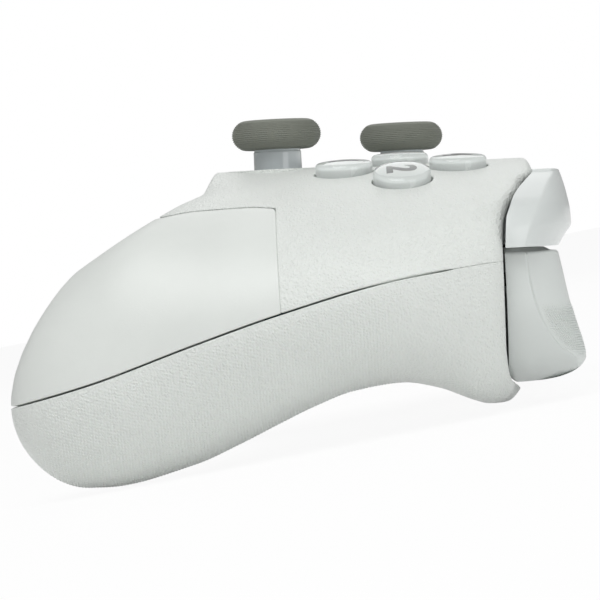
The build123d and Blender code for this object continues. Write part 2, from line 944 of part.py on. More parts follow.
def make_dpad():
    """Dished disc with a raised cross, a flange under the shell and a middle that rocks on a post."""
    top = face_height - dpad_sink
    disc_top = top - dpad_cross_rise
    disc = upright(dpad_x, dpad_y, dpad_pivot_z, disc_top, dpad_disc_radius)
    flange_top = face_height - wall - dpad_flange_gap
    disc = disc + upright(dpad_x, dpad_y, dpad_pivot_z, flange_top, dpad_disc_radius + dpad_flange)
    half = dpad_arm_length / 2
    across = dpad_arm_width / 2
    arms = block((dpad_x - half, dpad_x + half), (dpad_y - across, dpad_y + across), (disc_top - wall, top))
    arms = arms + block((dpad_x - across, dpad_x + across), (dpad_y - half, dpad_y + half), (disc_top - wall, top))
    hollow = Pos(dpad_x, dpad_y, top + dpad_dish_radius - dpad_dish_depth) * Sphere(dpad_dish_radius)
    socket = upright(dpad_x, dpad_y, dpad_pivot_z - wall, dpad_pivot_z + hub_height + hub_gap, hub_radius + hub_gap)
    keep("direction_pad", disc + arms - hollow - socket)
    keep("direction_pad_hub", upright(dpad_x, dpad_y, dpad_pivot_z, dpad_pivot_z + hub_height, hub_radius))
    post = upright(dpad_x, dpad_y, board_top, dpad_pivot_z - dpad_post_gap, dpad_post_radius)
    ring = upright(dpad_x, dpad_y, board_top, board_top + membrane_thickness, dpad_disc_radius)
    keep("direction_pad_membrane", ring + post)


def make_sticks():
    """Each stick: rubber cap and stem on a shaft that slides in a block, in a rocker, in a housing."""
    for side, x, y in stick_places():
        pivot = face_height - pivot_depth
        half = module_size / 2
        lid = pivot + module_top_above_pivot
        housing = block((x - half, x + half), (y - half, y + half), (board_top, lid))
        room = half - module_wall
        housing = housing - block((x - room, x + room), (y - room, y + room), (board_top + module_wall, lid - module_wall))
        housing = housing - upright(x, y, lid - wall, lid + wall, module_mouth_radius)
        housing = housing - crosswise(x - half - wall, x + half + wall, y, pivot, trunnion_radius + trunnion_play)
        keep(f"{side}_stick_housing", housing)

        inside = rocker_inner / 2
        outside = inside + rocker_thickness
        rocker = block((x - outside, x + outside), (y - outside, y + outside),
                       (pivot - rocker_height / 2, pivot + rocker_height / 2))
        rocker = rocker - block((x - inside, x + inside), (y - inside, y + inside),
                                (pivot - rocker_height, pivot + rocker_height))
        for sign in (1, -1):
            ends = sorted((x + sign * (outside - rocker_thickness / 2), x + sign * half))
            rocker = rocker + crosswise(*ends, y, pivot, trunnion_radius)
        rocker = rocker - lengthwise(x, y - outside - wall, y + outside + wall, pivot, trunnion_radius + trunnion_play)
        keep(f"{side}_stick_rocker", rocker)

        part = pivot_block_size / 2
        tall = pivot_block_height / 2
        pin = lengthwise(x, y - outside, y + outside, pivot, trunnion_radius)
        swivel = block((x - part, x + part), (y - part, y + part), (pivot - tall, pivot + tall)) + pin
        swivel = swivel - upright(x, y, pivot - half, pivot + half, stick_shaft_radius + shaft_play)
        keep(f"{side}_stick_pivot", swivel)

        under = stick_centre_height - cap_thickness / 2
        foot = face_height - stem_sink
        shaft = upright(x, y, pivot - tall - stick_click, foot, stick_shaft_radius)
        stem = Solid.make_cone(stem_foot_radius, stem_radius, stem_flare)
        stem = Pos(x, y, foot) * stem + upright(x, y, foot + stem_flare, under, stem_radius)
        keep(f"{side}_stick_shaft", shaft + stem + upright(x, y, under, under + stem_plug, stem_plug_radius))

        keep(f"{side}_stick_cap", Pos(x, y, 0) * stick_cap(under))
        ring = upright(x, y, face_height - ring_height - wall, face_height, stick_hole_radius - ring_gap)
        ring = ring - upright(x, y, face_height - overrun, face_height + wall, stick_hole_radius - ring_gap - ring_width)
        keep(f"{side}_stick_ring", ring)


def stick_cap(under):
    """Rubber cap: rounded, ribbed rim round a shallow dish, with a socket for the stem's plug."""
    middle = under + cap_thickness / 2
    rim = cap_thickness / 2
    flat = cap_radius - cap_groove - rim
    turns = [-math.pi / 2] + list(np.linspace(-cap_band, cap_band, cap_ribs + 1)) + [math.pi / 2]
    ribs = []
    for start, end in zip(turns, turns[1:]):
        bulge = rim + (cap_groove if start > -math.pi / 2 and end < math.pi / 2 else 0)
        spots = [(start, rim), ((start + end) / 2, bulge), (end, rim)]
        ribs.append(Edge.make_three_point_arc(*[
            Vector(flat + far * math.cos(angle), 0, middle + far * math.sin(angle)) for angle, far in spots
        ]))
    outline = Wire([
        Edge.make_line(Vector(0, 0, under), Vector(flat, 0, under)),
        *ribs,
        Edge.make_line(Vector(flat, 0, middle + rim), Vector(0, 0, middle + rim)),
        Edge.make_line(Vector(0, 0, middle + rim), Vector(0, 0, under)),
    ])
    cap = Solid.revolve(Face(outline), 360, Axis.Z)
    dish = (flat**2 + cap_dish_depth**2) / (2 * cap_dish_depth)
    cap = cap - Pos(0, 0, middle + rim + dish - cap_dish_depth) * Sphere(dish)
    return cap - upright(0, 0, under - wall, under + stem_plug, stem_plug_radius)


def front_y(z):
    """How far forward the middle of the trigger's finger face stands at a height."""
    return front_reach * float(curve_through(trigger_face_shares, z / grip_depth))


def flank_x(z, inset):
    """How far out the body reaches at the shoulder at a height."""
    x, top, bottom = shoulder_section(inset)
    if z >= seam_height(shoulder_y):
        return float(np.interp(-z, -top, x))
    lowest = int(np.argmin(bottom))
    return float(np.interp(z, bottom[lowest:], x[lowest:]))


def trigger_section(z, inset, back):
    """Plan section of the right trigger at one height."""
    outer = min(flank_x(z, wall + trigger_outer_gap), flank_x(0, wall + trigger_outer_gap)) - inset
    inner = trigger_inner_x + inset
    front = front_y(z) - inset
    share = (trigger_top - z) / (trigger_top - trigger_bottom)
    round_out = max(trigger_corner * (1 - trigger_tip_share * share**2) - inset, inset / 2)
    round_in = max(trigger_inner_corner - inset, inset / 2)
    places = [
        Vector(inner, back, z),
        Vector(outer, back, z),
        Vector(outer, front - round_out, z),
        Vector(outer - round_out, front, z),
        Vector(inner + round_in, front, z),
        Vector(inner, front - round_in, z),
    ]
    bulge = 1 - math.sqrt(0.5)
    out_middle = Vector(outer - round_out * bulge, front - round_out * bulge, z)
    in_middle = Vector(inner + round_in * bulge, front - round_in * bulge, z)
    return Wire([
        Edge.make_line(places[0], places[1]),
        Edge.make_line(places[1], places[2]),
        Edge.make_three_point_arc(places[2], out_middle, places[3]),
        Edge.make_line(places[3], places[4]),
        Edge.make_three_point_arc(places[4], in_middle, places[5]),
        Edge.make_line(places[5], places[0]),
    ])


def make_triggers():
    """Hollow triggers with a hooked finger face, swinging on pins in the frame's lugs."""
    back = shoulder_y + shoulder_gap
    heights = np.linspace(trigger_top, trigger_bottom - wall, trigger_sections)
    trigger = Solid.make_loft([trigger_section(z, 0, back) for z in heights])
    under = [(y * front_reach, z * grip_depth) for y, z in trigger_under_shares]
    chin = side_prism(
        under,
        [(under[-1][0] - overrun, under[-1][1]), (under[-1][0] - overrun, -grip_depth - overrun),
         (under[0][0] + overrun, -grip_depth - overrun), (under[0][0] + overrun, under[0][1])],
        0, half_width,
    )
    trigger = trigger - chin
    heights = np.linspace(trigger_top - trigger_wall, trigger_bottom + trigger_wall * 1.5, trigger_sections)
    hollow = Solid.make_loft([trigger_section(z, trigger_wall, back - wall) for z in heights])
    trigger = trigger - hollow
    for start in (trigger_ear_inner, trigger_ear_outer):
        ear = crosswise(start, start + trigger_ear, trigger_pivot_y, trigger_pivot_z, trigger_hub_radius)
        web = block((start, start + trigger_ear), (trigger_pivot_y - trigger_hub_radius / 2, front_y(0) - trigger_wall / 2),
                    (trigger_pivot_z - trigger_hub_radius / 2, trigger_top - trigger_wall / 2))
        trigger = trigger + ear + web
    pin_ends = (trigger_ear_inner - pin_end, trigger_ear_outer + trigger_ear + pin_end)
    trigger = trigger - crosswise(pin_ends[0] - wall / 2, pin_ends[1] + wall / 2, trigger_pivot_y, trigger_pivot_z,
                                  trigger_pin_radius + trigger_pin_play)
    keep("right_trigger", trigger)
    keep("left_trigger", mirrored(trigger))
    pin = crosswise(*pin_ends, trigger_pivot_y, trigger_pivot_z, trigger_pin_radius)
    keep("trigger_pins", Compound(children=[pin, mirrored(pin)]))
    spring = crosswise(lug_inner + lug_width + clearance, lug_outer - clearance, trigger_pivot_y, trigger_pivot_z, spring_outer)
    spring = spring - crosswise(0, half_width, trigger_pivot_y, trigger_pivot_z, trigger_pin_radius + clearance)
    keep("trigger_springs", Compound(children=[spring, mirrored(spring)]))


def make_frame():
    """Cross bar behind the triggers with a pair of lugs for each pin and arms for the bumpers."""
    bar = block((-frame_half_width, frame_half_width), (frame_back, frame_back + frame_thickness), (frame_bottom, frame_top))
    for start in (lug_inner, lug_outer):
        lug = crosswise(start, start + lug_width, trigger_pivot_y, trigger_pivot_z, lug_radius)
        lug = lug + block((start, start + lug_width), (frame_back, trigger_pivot_y),
                          (trigger_pivot_z - lug_radius / 2, trigger_pivot_z + lug_radius / 2))
        lug = lug - crosswise(0, half_width, trigger_pivot_y, trigger_pivot_z, trigger_pin_radius)
        bar = bar + lug + mirrored(lug)
    keep("inner_frame", bar)


def make_bumpers():
    """Hooded bumpers that wrap round the shoulders and rock on a pin at their lower rear edge."""
    curve = shoulder_curve(shoulder_gap)
    front = [(y * front_reach, z * face_height) for y, z in bumper_face_shares]
    reach = half_width + overrun
    side = side_prism(curve[: bumper_curve_points], front, bumper_inner_x, reach)
    plan = [(x * half_width, y * front_reach) for x, y in bumper_plan_shares]
    plan_body = plan_prism(plan, [(plan[-1][0], shoulder_y - wall), (bridge_half_width / 2, shoulder_y - wall),
                                  (bridge_half_width / 2, plan[0][1])], -grip_depth, face_height + overrun)
    across = front_body(bumper_inset)
    bumper = side & plan_body & across
    skin = [(y - bumper_wall, z - bumper_wall) for y, z in front[2:]]
    back = shoulder_y - overrun
    corners = [(back, skin[-1][1]), (back, -grip_depth), (skin[0][0], -grip_depth)]
    room = side_prism(skin, corners, bumper_inner_x + bumper_wall, reach)
    plan = [(x - bumper_wall, y - bumper_wall) for x, y in plan]
    room_plan = plan_prism(plan, [(plan[-1][0], back), (0, back), (0, plan[0][1])], -grip_depth, face_height)
    bumper = bumper - (room & room_plan & front_body(bumper_inset + bumper_wall))
    keep("right_bumper", bumper)
    keep("left_bumper", mirrored(bumper))


def front_body(inset):
    """The right half of the body's cross section at the shoulder, drawn along Y."""
    x, top, bottom = shoulder_section(inset)
    places = list(zip(x, top))[:-1] + list(zip(x, bottom))[::-1]
    curve = [Vector(px, shoulder_y - wall, pz) for px, pz in places]
    face = closed_face(curve, [])
    return Solid.extrude(face, Vector(0, front_reach, 0))


# Inner parts

def make_boards():
    """Main board with its tongue for the socket, switches, and the membrane under the face buttons."""
    bottom = board_top - board_thickness
    board = block((-board_half_width, board_half_width), (board_back, board_front), (bottom, board_top))
    board = board + block((-tongue_half_width, tongue_half_width), (board_front - wall, tongue_front), (bottom, board_top))
    for x, y in screw_places():
        board = board - upright(x, y, bottom - wall, board_top + wall, screw_radius + clearance)
    for name, x, y, radius in small_buttons():
        board = board + block((x - switch_size / 2, x + switch_size / 2), (y - switch_size / 2, y + switch_size / 2),
                              (board_top, board_top + switch_height))
    keep("main_board", board)
    pads = [upright(x, y, board_top, membrane_top, membrane_radius) for name, x, y in face_buttons()]
    sheet = upright(cluster_x, cluster_y, board_top, board_top + membrane_sheet, cluster_pitch)
    for pad in pads:
        sheet = sheet + pad
    keep("face_button_membrane", sheet)
    shell = block((-usb_width / 2, usb_width / 2), (front_reach - usb_depth - usb_recess, front_reach - usb_recess),
                  (usb_z - usb_height / 2, usb_z + usb_height / 2))
    shell = fillet(shell.edges().filter_by(Axis.Y), usb_height * usb_round_share)
    room = block((-usb_width / 2 + usb_wall, usb_width / 2 - usb_wall),
                 (front_reach - usb_depth, front_reach),
                 (usb_z - usb_height / 2 + usb_wall, usb_z + usb_height / 2 - usb_wall))
    tongue = block((-usb_width / 4, usb_width / 4), (front_reach - usb_depth - usb_recess, front_reach - usb_recess - usb_wall * 2),
                   (usb_z - usb_wall, usb_z + usb_wall))
    keep("usb_socket", shell - room + tongue)
    battery = block((-battery_length / 2, battery_length / 2), (battery_y - battery_width / 2, battery_y + battery_width / 2),
                    (battery_floor, battery_floor + battery_height))
    keep("battery", fillet(battery.edges().filter_by(Axis.X), battery_height * battery_round_share))


def make_motors():
    """Rumble motors lying across the grips, each with a half-round weight on its shaft."""
    for side, sign in (("right", 1), ("left", -1)):
        can = crosswise(motor_x - motor_length / 2, motor_x + motor_length / 2, motor_y, motor_z, motor_radius)
        shaft_start = motor_x - motor_length / 2 - weight_gap - weight_length
        can = can - crosswise(motor_x - motor_length / 2 - wall, motor_x, motor_y, motor_z, motor_shaft_radius + shaft_clearance)
        weight = crosswise(shaft_start, shaft_start + weight_length, motor_y, motor_z, weight_radius)
        weight = weight - block((shaft_start - wall, motor_x), (motor_y, motor_y + weight_radius + wall),
                                (motor_z - weight_radius - wall, motor_z + weight_radius + wall))
        weight = weight + crosswise(shaft_start, shaft_start + weight_length, motor_y, motor_z, weight_hub_radius)
        weight = weight + crosswise(shaft_start, motor_x - wall, motor_y, motor_z, motor_shaft_radius)
        keep(f"{side}_rumble_motor", can if sign > 0 else mirrored(can))
        keep(f"{side}_rumble_weight", weight if sign > 0 else mirrored(weight))


def make_screws():
    screws = []
    for x, y in screw_places():
        head = upright(x, y, screw_seat - screw_head_height, screw_seat, screw_head_radius)
        screws.append(head + upright(x, y, screw_seat, screw_tip_height(x, y), screw_radius))
    keep("shell_screws", Compound(children=screws))


def rest_placement():
    """The lean and shift that lay the pad on the table with its footprint's middle at the origin."""
    lean = math.degrees(math.atan2(grip_depth - horn_depth, horn_y - grip_low_y))
    leaning = Rot(-lean, 0, 0)
    boxes = [(leaning * solid).bounding_box() for solid in pieces.values()]
    low_y = min(box.min.Y for box in boxes)
    high_y = max(box.max.Y for box in boxes)
    floor = min(box.min.Z for box in boxes)
    return Pos(0, -(low_y + high_y) / 2, -floor) * leaning


def build():
    make_shells()
    make_face_buttons()
    make_small_buttons()
    make_dpad()
    make_sticks()
    make_triggers()
    make_frame()
    make_bumpers()
    make_boards()
    make_motors()
    make_screws()
    return rest_placement()


if __name__ == "__main__":
    os.makedirs("parts", exist_ok=True)
    placement = build()
    for name, solid in pieces.items():
        export_step(placement * solid, f"parts/{name}.step")
    print("placement", placement)
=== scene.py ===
"""Looks of the gamepad controller: fine shells, clear buttons, ribbed stick caps and grip texture.

Metres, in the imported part's frame. Lengths named in millimetres belong to the pad's own square
frame, in which the stick axes stand along +Z; place() lays them on the table.
"""

import math

import bpy
import numpy as np
from mathutils import Matrix, Vector


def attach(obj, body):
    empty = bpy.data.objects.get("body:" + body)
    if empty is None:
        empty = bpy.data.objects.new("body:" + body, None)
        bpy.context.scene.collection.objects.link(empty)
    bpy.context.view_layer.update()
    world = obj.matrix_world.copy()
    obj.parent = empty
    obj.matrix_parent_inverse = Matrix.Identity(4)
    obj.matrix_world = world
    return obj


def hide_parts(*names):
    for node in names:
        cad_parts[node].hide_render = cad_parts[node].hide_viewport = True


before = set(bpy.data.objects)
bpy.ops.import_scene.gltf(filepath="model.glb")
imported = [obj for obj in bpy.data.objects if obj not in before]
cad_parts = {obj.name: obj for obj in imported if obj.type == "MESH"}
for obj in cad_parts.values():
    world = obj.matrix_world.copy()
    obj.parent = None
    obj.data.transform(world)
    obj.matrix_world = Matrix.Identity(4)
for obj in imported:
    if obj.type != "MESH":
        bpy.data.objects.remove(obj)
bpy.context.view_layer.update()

scene = bpy.context.scene

# The pad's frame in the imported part's frame
LEAN = math.radians(-8.52333)
SHIFT = np.array([0.0, 1.70002, 26.6758])
MM = 0.001

# Body, in millimetres; the curves' places are shares of the body's size
HALF_WIDTH = 77.0
GRIP_REACH = 53.9
FRONT_REACH = 47.0
FACE_HEIGHT = 25.7
GRIP_DEPTH = 32.2
CENTRE_DEPTH = 12.0
WALL = 2.0
SKIN = 1.8
LIP = 0.2
GRIP_ROUND = 14.5
SIDE_ROUND_TOP = 52.0
SIDE_ROUND_BOTTOM = 24.0
HORN_ROUND = 14.0
CHIN_ROUND = 5.0
FRONT_ROUND = 3.0
ROUND_START_Y = -0.65 * GRIP_REACH
HORN_BACK_Y = 0.2 * GRIP_REACH
HORN_FRONT_Y = 0.6 * GRIP_REACH
GRIP_INNER_X = 24.0
GRIP_OUTER_X = 0.62 * HALF_WIDTH
FACE_SHOULDER_X = 42.0
FACE_POWER = 1.85
GRIP_POWER = 2.0
CHIN_POWER = 3.0
BRIDGE_HALF_WIDTH = 21.0
BRIDGE_Y = 39.9
BRIDGE_ROOM = (-3.3, 22.6)
CHIN_GAP = 0.3
CHEEK_X = 30.6
CHEEK_BACK = 32.0
CHEEK_NOTCH = (37.4, -3.4)
CHEEK_FRONT = 45.2
CHEEK_TOP_Y = 42.0
CHEEK_THICKNESS = 1.6
SWING_BACK = 32.8
SWING_OUTER_X = 46.0
SWING_AXIS = (42.2, 2.6)
SWING_REACH = 20.5
RIM_ROUND = 2.4
RIM_SHARE = 0.5

SEAM = [
    (-1.10, -0.690), (-1.00, -0.645), (-0.70, -0.490), (-0.35, -0.250), (-0.05, -0.058),
    (0.34, 0.142), (0.53, 0.198), (0.70, 0.236), (1.00, 0.262),
]
CROWN = [
    (-1.10, -0.130), (-1.00, -0.010), (-0.76, 0.300), (-0.48, 0.655), (-0.36, 0.785),
    (-0.15, 0.935), (0.10, 0.990), (0.40, 1.000), (1.00, 1.000),
]
UNDERSIDE = [
    (-1.10, 0.985), (-1.00, 0.995), (-0.85, 1.002), (-0.68, 1.000), (-0.37, 0.893),
    (-0.22, 0.795), (-0.08, 0.690), (0.05, 0.595), (0.19, 0.517), (0.36, 0.482),
    (0.47, 0.515), (0.60, 0.603), (0.66, 0.637), (0.72, 0.645), (0.76, 0.610),
    (0.80, 0.520), (0.90, 0.420),
]
ARCH = [
    (0.00, -0.352), (0.12, -0.355), (0.25, -0.368), (0.33, -0.415), (0.40, -0.505),
    (0.46, -0.620), (0.52, -0.765), (0.575, -0.895), (0.64, -0.975), (0.72, -1.000),
]
FLANK = [
    (0.72, -1.000), (0.80, -0.975), (0.865, -0.890), (0.915, -0.740), (0.950, -0.530),
    (0.982, -0.250), (0.998, 0.030), (1.000, 0.190), (0.990, 0.400), (0.960, 0.590),
    (0.920, 0.710), (0.850, 0.810), (0.760, 0.870), (0.700, 0.885),
]
# Side outline of the upper surface in front: as the flank, then straight on past the bumpers
CROWN_FLANK = FLANK[:8] + [(0.994, 0.400), (0.984, 0.590), (0.974, 0.740), (0.964, 0.880)]
CROWN_BLEND = (6, 20)
CORNER_ROUND = 6.0
BACK_STEP = (14.2, 17.2)
SHOULDER_SHIFT = 0.2
SHOULDER = [
    (0.970, 0.898), (0.934, 0.858), (0.891, 0.772), (0.862, 0.700), (0.838, 0.612),
    (0.824, 0.530), (0.815, 0.360), (0.812, -0.366), (0.822, -0.582), (0.842, -0.676),
    (0.885, -0.724),
]
COVER_TOP = [
    (-1.60, 0.560), (-0.70, 0.640), (-0.47, 0.672), (-0.33, 0.708), (-0.14, 0.716),
    (-0.055, 0.700),
]
COVER_EDGE_Y = -2.9
COVER_EDGE_Z = 18.0
COVER_LEAN = 0.02
COVER_INNER_X = 24.5
SEAM_GAP = 0.20
SEAM_CLOSING = 0.18
SEAM_END = (27, 30)

# Controls
STICKS = {"right": (20.0, -2.7), "left": (-41.0, 22.3)}
STICK_HOLE = 11.0
BUTTON_RADIUS = 5.45
BUTTON_GAP = 0.3
BUTTONS = {
    "face_button_1": (40.0, 10.1),
    "face_button_2": (50.8, 20.9),
    "face_button_3": (29.2, 20.9),
    "face_button_4": (40.0, 31.7),
}
SMALL_BUTTONS = {
    "minus_button": (-11.5, 18.6, 2.4),
    "plus_button": (11.5, 18.6, 2.4),
    "capture_button": (0.0, 9.6, 2.4),
    "home_button": (0.0, 33.0, 5.2),
}
SIDES = (("right", 1), ("left", -1))
DPAD = (-20.0, -2.7)
DPAD_HOLE = 11.1
SCREWS = [(36.0, -8.0), (-36.0, -8.0), (21.0, 28.5), (-21.0, 28.5)]
SCREW_HOLE = 2.7


# Shape of the body

def curve_through(places, at):
    """A smooth curve through places, without overshoot."""
    xs = np.array([p[0] for p in places])
    ys = np.array([p[1] for p in places])
    step = np.diff(xs)
    rise = np.diff(ys) / step
    slope = np.zeros(len(xs))
    for i in range(1, len(xs) - 1):
        if rise[i - 1] * rise[i] > 0:
            slope[i] = 2 * rise[i - 1] * rise[i] / (rise[i - 1] + rise[i])
    slope[0] = rise[0]
    slope[-1] = rise[-1]
    at = np.clip(np.asarray(at, float), xs[0], xs[-1])
    k = np.clip(np.searchsorted(xs, at) - 1, 0, len(step) - 1)
    t = (at - xs[k]) / step[k]
    lift = ys[k] * (1 + 2 * t) * (1 - t) ** 2 + ys[k + 1] * t**2 * (3 - 2 * t)
    return lift + step[k] * (slope[k] * t * (1 - t) ** 2 - slope[k + 1] * t**2 * (1 - t))


def spline_values(knots, values, at):
    """Natural cubic spline through values at knots."""
    count = len(knots)
    step = np.diff(knots)
    slope = np.diff(values) / step
    matrix = np.eye(count)
    side = np.zeros(count)
    for i in range(1, count - 1):
        matrix[i, i - 1:i + 2] = [step[i - 1], 2 * (step[i - 1] + step[i]), step[i]]
        side[i] = 3 * (slope[i] - slope[i - 1])
    bend = np.linalg.solve(matrix, side)
    k = np.clip(np.searchsorted(knots, at) - 1, 0, count - 2)
    u = at - knots[k]
    first = (values[k + 1] - values[k]) / step[k] - step[k] * (2 * bend[k] + bend[k + 1]) / 3
    return values[k] + first * u + bend[k] * u**2 + (bend[k + 1] - bend[k]) / (3 * step[k]) * u**3


def run_along(x, y):
    """Length from the first place of a line to each of its places."""
    return np.concatenate([[0], np.cumsum(np.hypot(np.diff(x), np.diff(y)))])


def plan_curve(shares):
    """Dense plan line through places given as shares of half the width and of the grips' reach."""
    points = np.array([(x * HALF_WIDTH, y * GRIP_REACH) for x, y in shares])
    run = run_along(*points.T)
    at = np.linspace(0, run[-1], 300)
    return np.column_stack([spline_values(run, points[:, k], at) for k in (0, 1)])


arch = plan_curve(ARCH)
flank = plan_curve(FLANK)
crown_flank = plan_curve(CROWN_FLANK)


def distance_to(line, x, y):
    """Shortest plan distance from each place to a dense line."""
    start = line[None, :-1]
    run = np.diff(line, axis=0)[None]
    along = (x[:, None] - start[..., 0]) * run[..., 0] + (y[:, None] - start[..., 1]) * run[..., 1]
    along = np.clip(along / (run**2).sum(axis=2), 0, 1)
    off_x = x[:, None] - start[..., 0] - along * run[..., 0]
    off_y = y[:, None] - start[..., 1] - along * run[..., 1]
    return np.sqrt((off_x**2 + off_y**2).min(axis=1))


def ease(value, start, end):
    """0 before start, 1 after end, smooth between them."""
    t = np.clip((value - start) / (end - start), 0, 1)
    return t * t * (3 - 2 * t)


def rounding(share, power):
    """Height share of a rounded edge at a share of its reach."""
    t = np.clip(share, 0, 1)
    return (1 - (1 - t) ** power) ** (1 / power)


def seam_height(y):
    return FACE_HEIGHT * curve_through(SEAM, np.asarray(y) / GRIP_REACH)


def plan_gaps(x, y):
    """Plan distances to the arch between the grips, to the flank and to the front."""
    return distance_to(arch, x, y), distance_to(flank, x, y), FRONT_REACH - y


def in_batches(function):
    """The same function, worked through a few thousand places at a time."""
    def batched(x, y):
        y = np.atleast_1d(np.asarray(y, float))
        x = np.abs(np.broadcast_to(x, y.shape)).astype(float)
        pieces = [function(x[i:i + 4000], y[i:i + 4000]) for i in range(0, len(y), 4000)]
        return np.concatenate(pieces)
    return batched


@in_batches
def top_height(x, y):
    """Height of the body's upper surface over plan places."""
    from_arch, from_flank, from_front = plan_gaps(x, y)
    plan_share = ease(x, GRIP_INNER_X, FACE_SHOULDER_X)
    grip_share = np.maximum(plan_share, ease(-y, *BACK_STEP))
    crown = FACE_HEIGHT * curve_through(CROWN, y / GRIP_REACH)
    crown = FACE_HEIGHT * (1 - grip_share) + crown * grip_share
    side_round = GRIP_ROUND + (SIDE_ROUND_TOP - GRIP_ROUND) * ease(y, ROUND_START_Y, 0)
    inner_round = CHIN_ROUND + (GRIP_ROUND - CHIN_ROUND) * plan_share
    power = CHIN_POWER + (GRIP_POWER - CHIN_POWER) * plan_share
    grip_side = rounding(from_flank / side_round, FACE_POWER)
    corner = rounding(from_flank / CORNER_ROUND, FACE_POWER)
    front_side = rounding(distance_to(crown_flank, x, y) / side_round, FACE_POWER) * corner
    side = grip_side + (front_side - grip_side) * ease(y, *CROWN_BLEND)
    inner = rounding(from_arch / inner_round, power)
    front = rounding(from_front / FRONT_ROUND, CHIN_POWER)
    seam = seam_height(y)
    return seam + (crown - seam) * np.minimum(side, inner) * front


@in_batches
def bottom_height(x, y):
    """Height of the body's lower surface over plan places."""
    from_arch, from_flank, from_front = plan_gaps(x, y)
    grip_share = ease(x, GRIP_INNER_X, GRIP_OUTER_X)
    under = -GRIP_DEPTH * curve_through(UNDERSIDE, y / GRIP_REACH)
    under = -CENTRE_DEPTH * (1 - grip_share) + under * grip_share
    side_round = GRIP_ROUND + (SIDE_ROUND_BOTTOM - GRIP_ROUND) * ease(y, ROUND_START_Y, 0)
    horn_share = ease(y, HORN_BACK_Y, HORN_FRONT_Y)
    side_round = side_round + (HORN_ROUND - side_round) * horn_share
    inner_round = CHIN_ROUND + (GRIP_ROUND - CHIN_ROUND) * grip_share
    side = rounding(from_flank / side_round, GRIP_POWER)
    inner = rounding(from_arch / inner_round, GRIP_POWER)
    front = rounding(from_front / FRONT_ROUND, CHIN_POWER)
    seam = seam_height(y)
    return seam - (seam - under) * np.minimum(side, inner) * front


def outline_ends(x):
    """Lowest and highest y of the body's plan outline at one station."""
    x = abs(x)
    widest = int(np.argmax(flank[:, 0]))
    low = np.interp(x, flank[:widest + 1, 0], flank[:widest + 1, 1])
    if x <= arch[-1, 0]:
        low = np.interp(x, arch[:, 0], arch[:, 1])
    high = FRONT_REACH
    if x > flank[-1, 0]:
        high = np.interp(x, flank[widest:, 0][::-1], flank[widest:, 1][::-1])
    return low, high


# Mesh tools, in the pad's frame and in millimetres until place()

def place(points):
    """Places in the pad's frame, in millimetres, as places in the part's frame, in metres."""
    p = np.asarray(points, float).reshape(-1, 3)
    c, s = math.cos(LEAN), math.sin(LEAN)
    turned = np.column_stack([p[:, 0], c * p[:, 1] - s * p[:, 2], s * p[:, 1] + c * p[:, 2]])
    return (turned + SHIFT) * MM


def turn(directions):
    """Directions in the pad's frame as directions in the part's frame."""
    return (place(directions) / MM) - SHIFT


def unit(v):
    return v / np.maximum(np.linalg.norm(v, axis=-1, keepdims=True), 1e-12)


def add_mesh(name, verts, faces, body, material, normals=None, replaces=()):
    """A smooth mesh of places in the pad's frame that rides on a body of the part."""
    mesh = bpy.data.meshes.new(name)
    corners = [tuple(int(i) for i in f) for f in faces]
    mesh.from_pydata([tuple(v) for v in place(verts)], [], corners)
    mesh.polygons.foreach_set("use_smooth", [True] * len(mesh.polygons))
    mesh.update()
    if normals is not None:
        mesh.normals_split_custom_set_from_vertices([tuple(n) for n in unit(turn(normals))])
    piece = bpy.data.objects.new(name, mesh)
    scene.collection.objects.link(piece)
    mesh.materials.append(material)
    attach(piece, body)
    if replaces:
        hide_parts(*replaces)
    return piece


def fine(node, verts, faces, normals, body, material):
    """A fine mesh that takes the place of a node's own."""
    add_mesh("fine_" + node, verts, faces, body, material, normals, [node])


def grid_faces(columns, rows, flip=False):
    """Triangles of a grid whose places are listed column by column."""
    i, j = np.meshgrid(np.arange(columns - 1), np.arange(rows - 1), indexing="ij")
    a = (i * rows + j).ravel()
    b, c, d = a + rows, a + rows + 1, a + 1
    tris = np.concatenate([np.column_stack([a, b, c]), np.column_stack([a, c, d])])
    return tris[:, ::-1] if flip else tris


def ring_faces(count, rings, flip=False):
    """Faces over rings of places, listed ring by ring between two end places."""
    faces = []
    last = 1 + (rings - 1) * count
    for i in range(count):
        j = (i + 1) % count
        faces += [(0, 1 + j, 1 + i), (last + i, last + j, last + count)]
        for a in range(1, last, count):
            faces.append((a + i, a + j, a + count + j, a + count + i))
    return [(f[0], *f[:0:-1]) for f in faces] if flip else faces


def area_normals(points, tris):
    """Smooth vertex normals of a triangle mesh, weighted by area."""
    corner = points[tris]
    flat = np.cross(corner[:, 1] - corner[:, 0], corner[:, 2] - corner[:, 0])
    normals = np.zeros_like(points)
    for k in range(3):
        np.add.at(normals, tris[:, k], flat)
    return unit(normals)


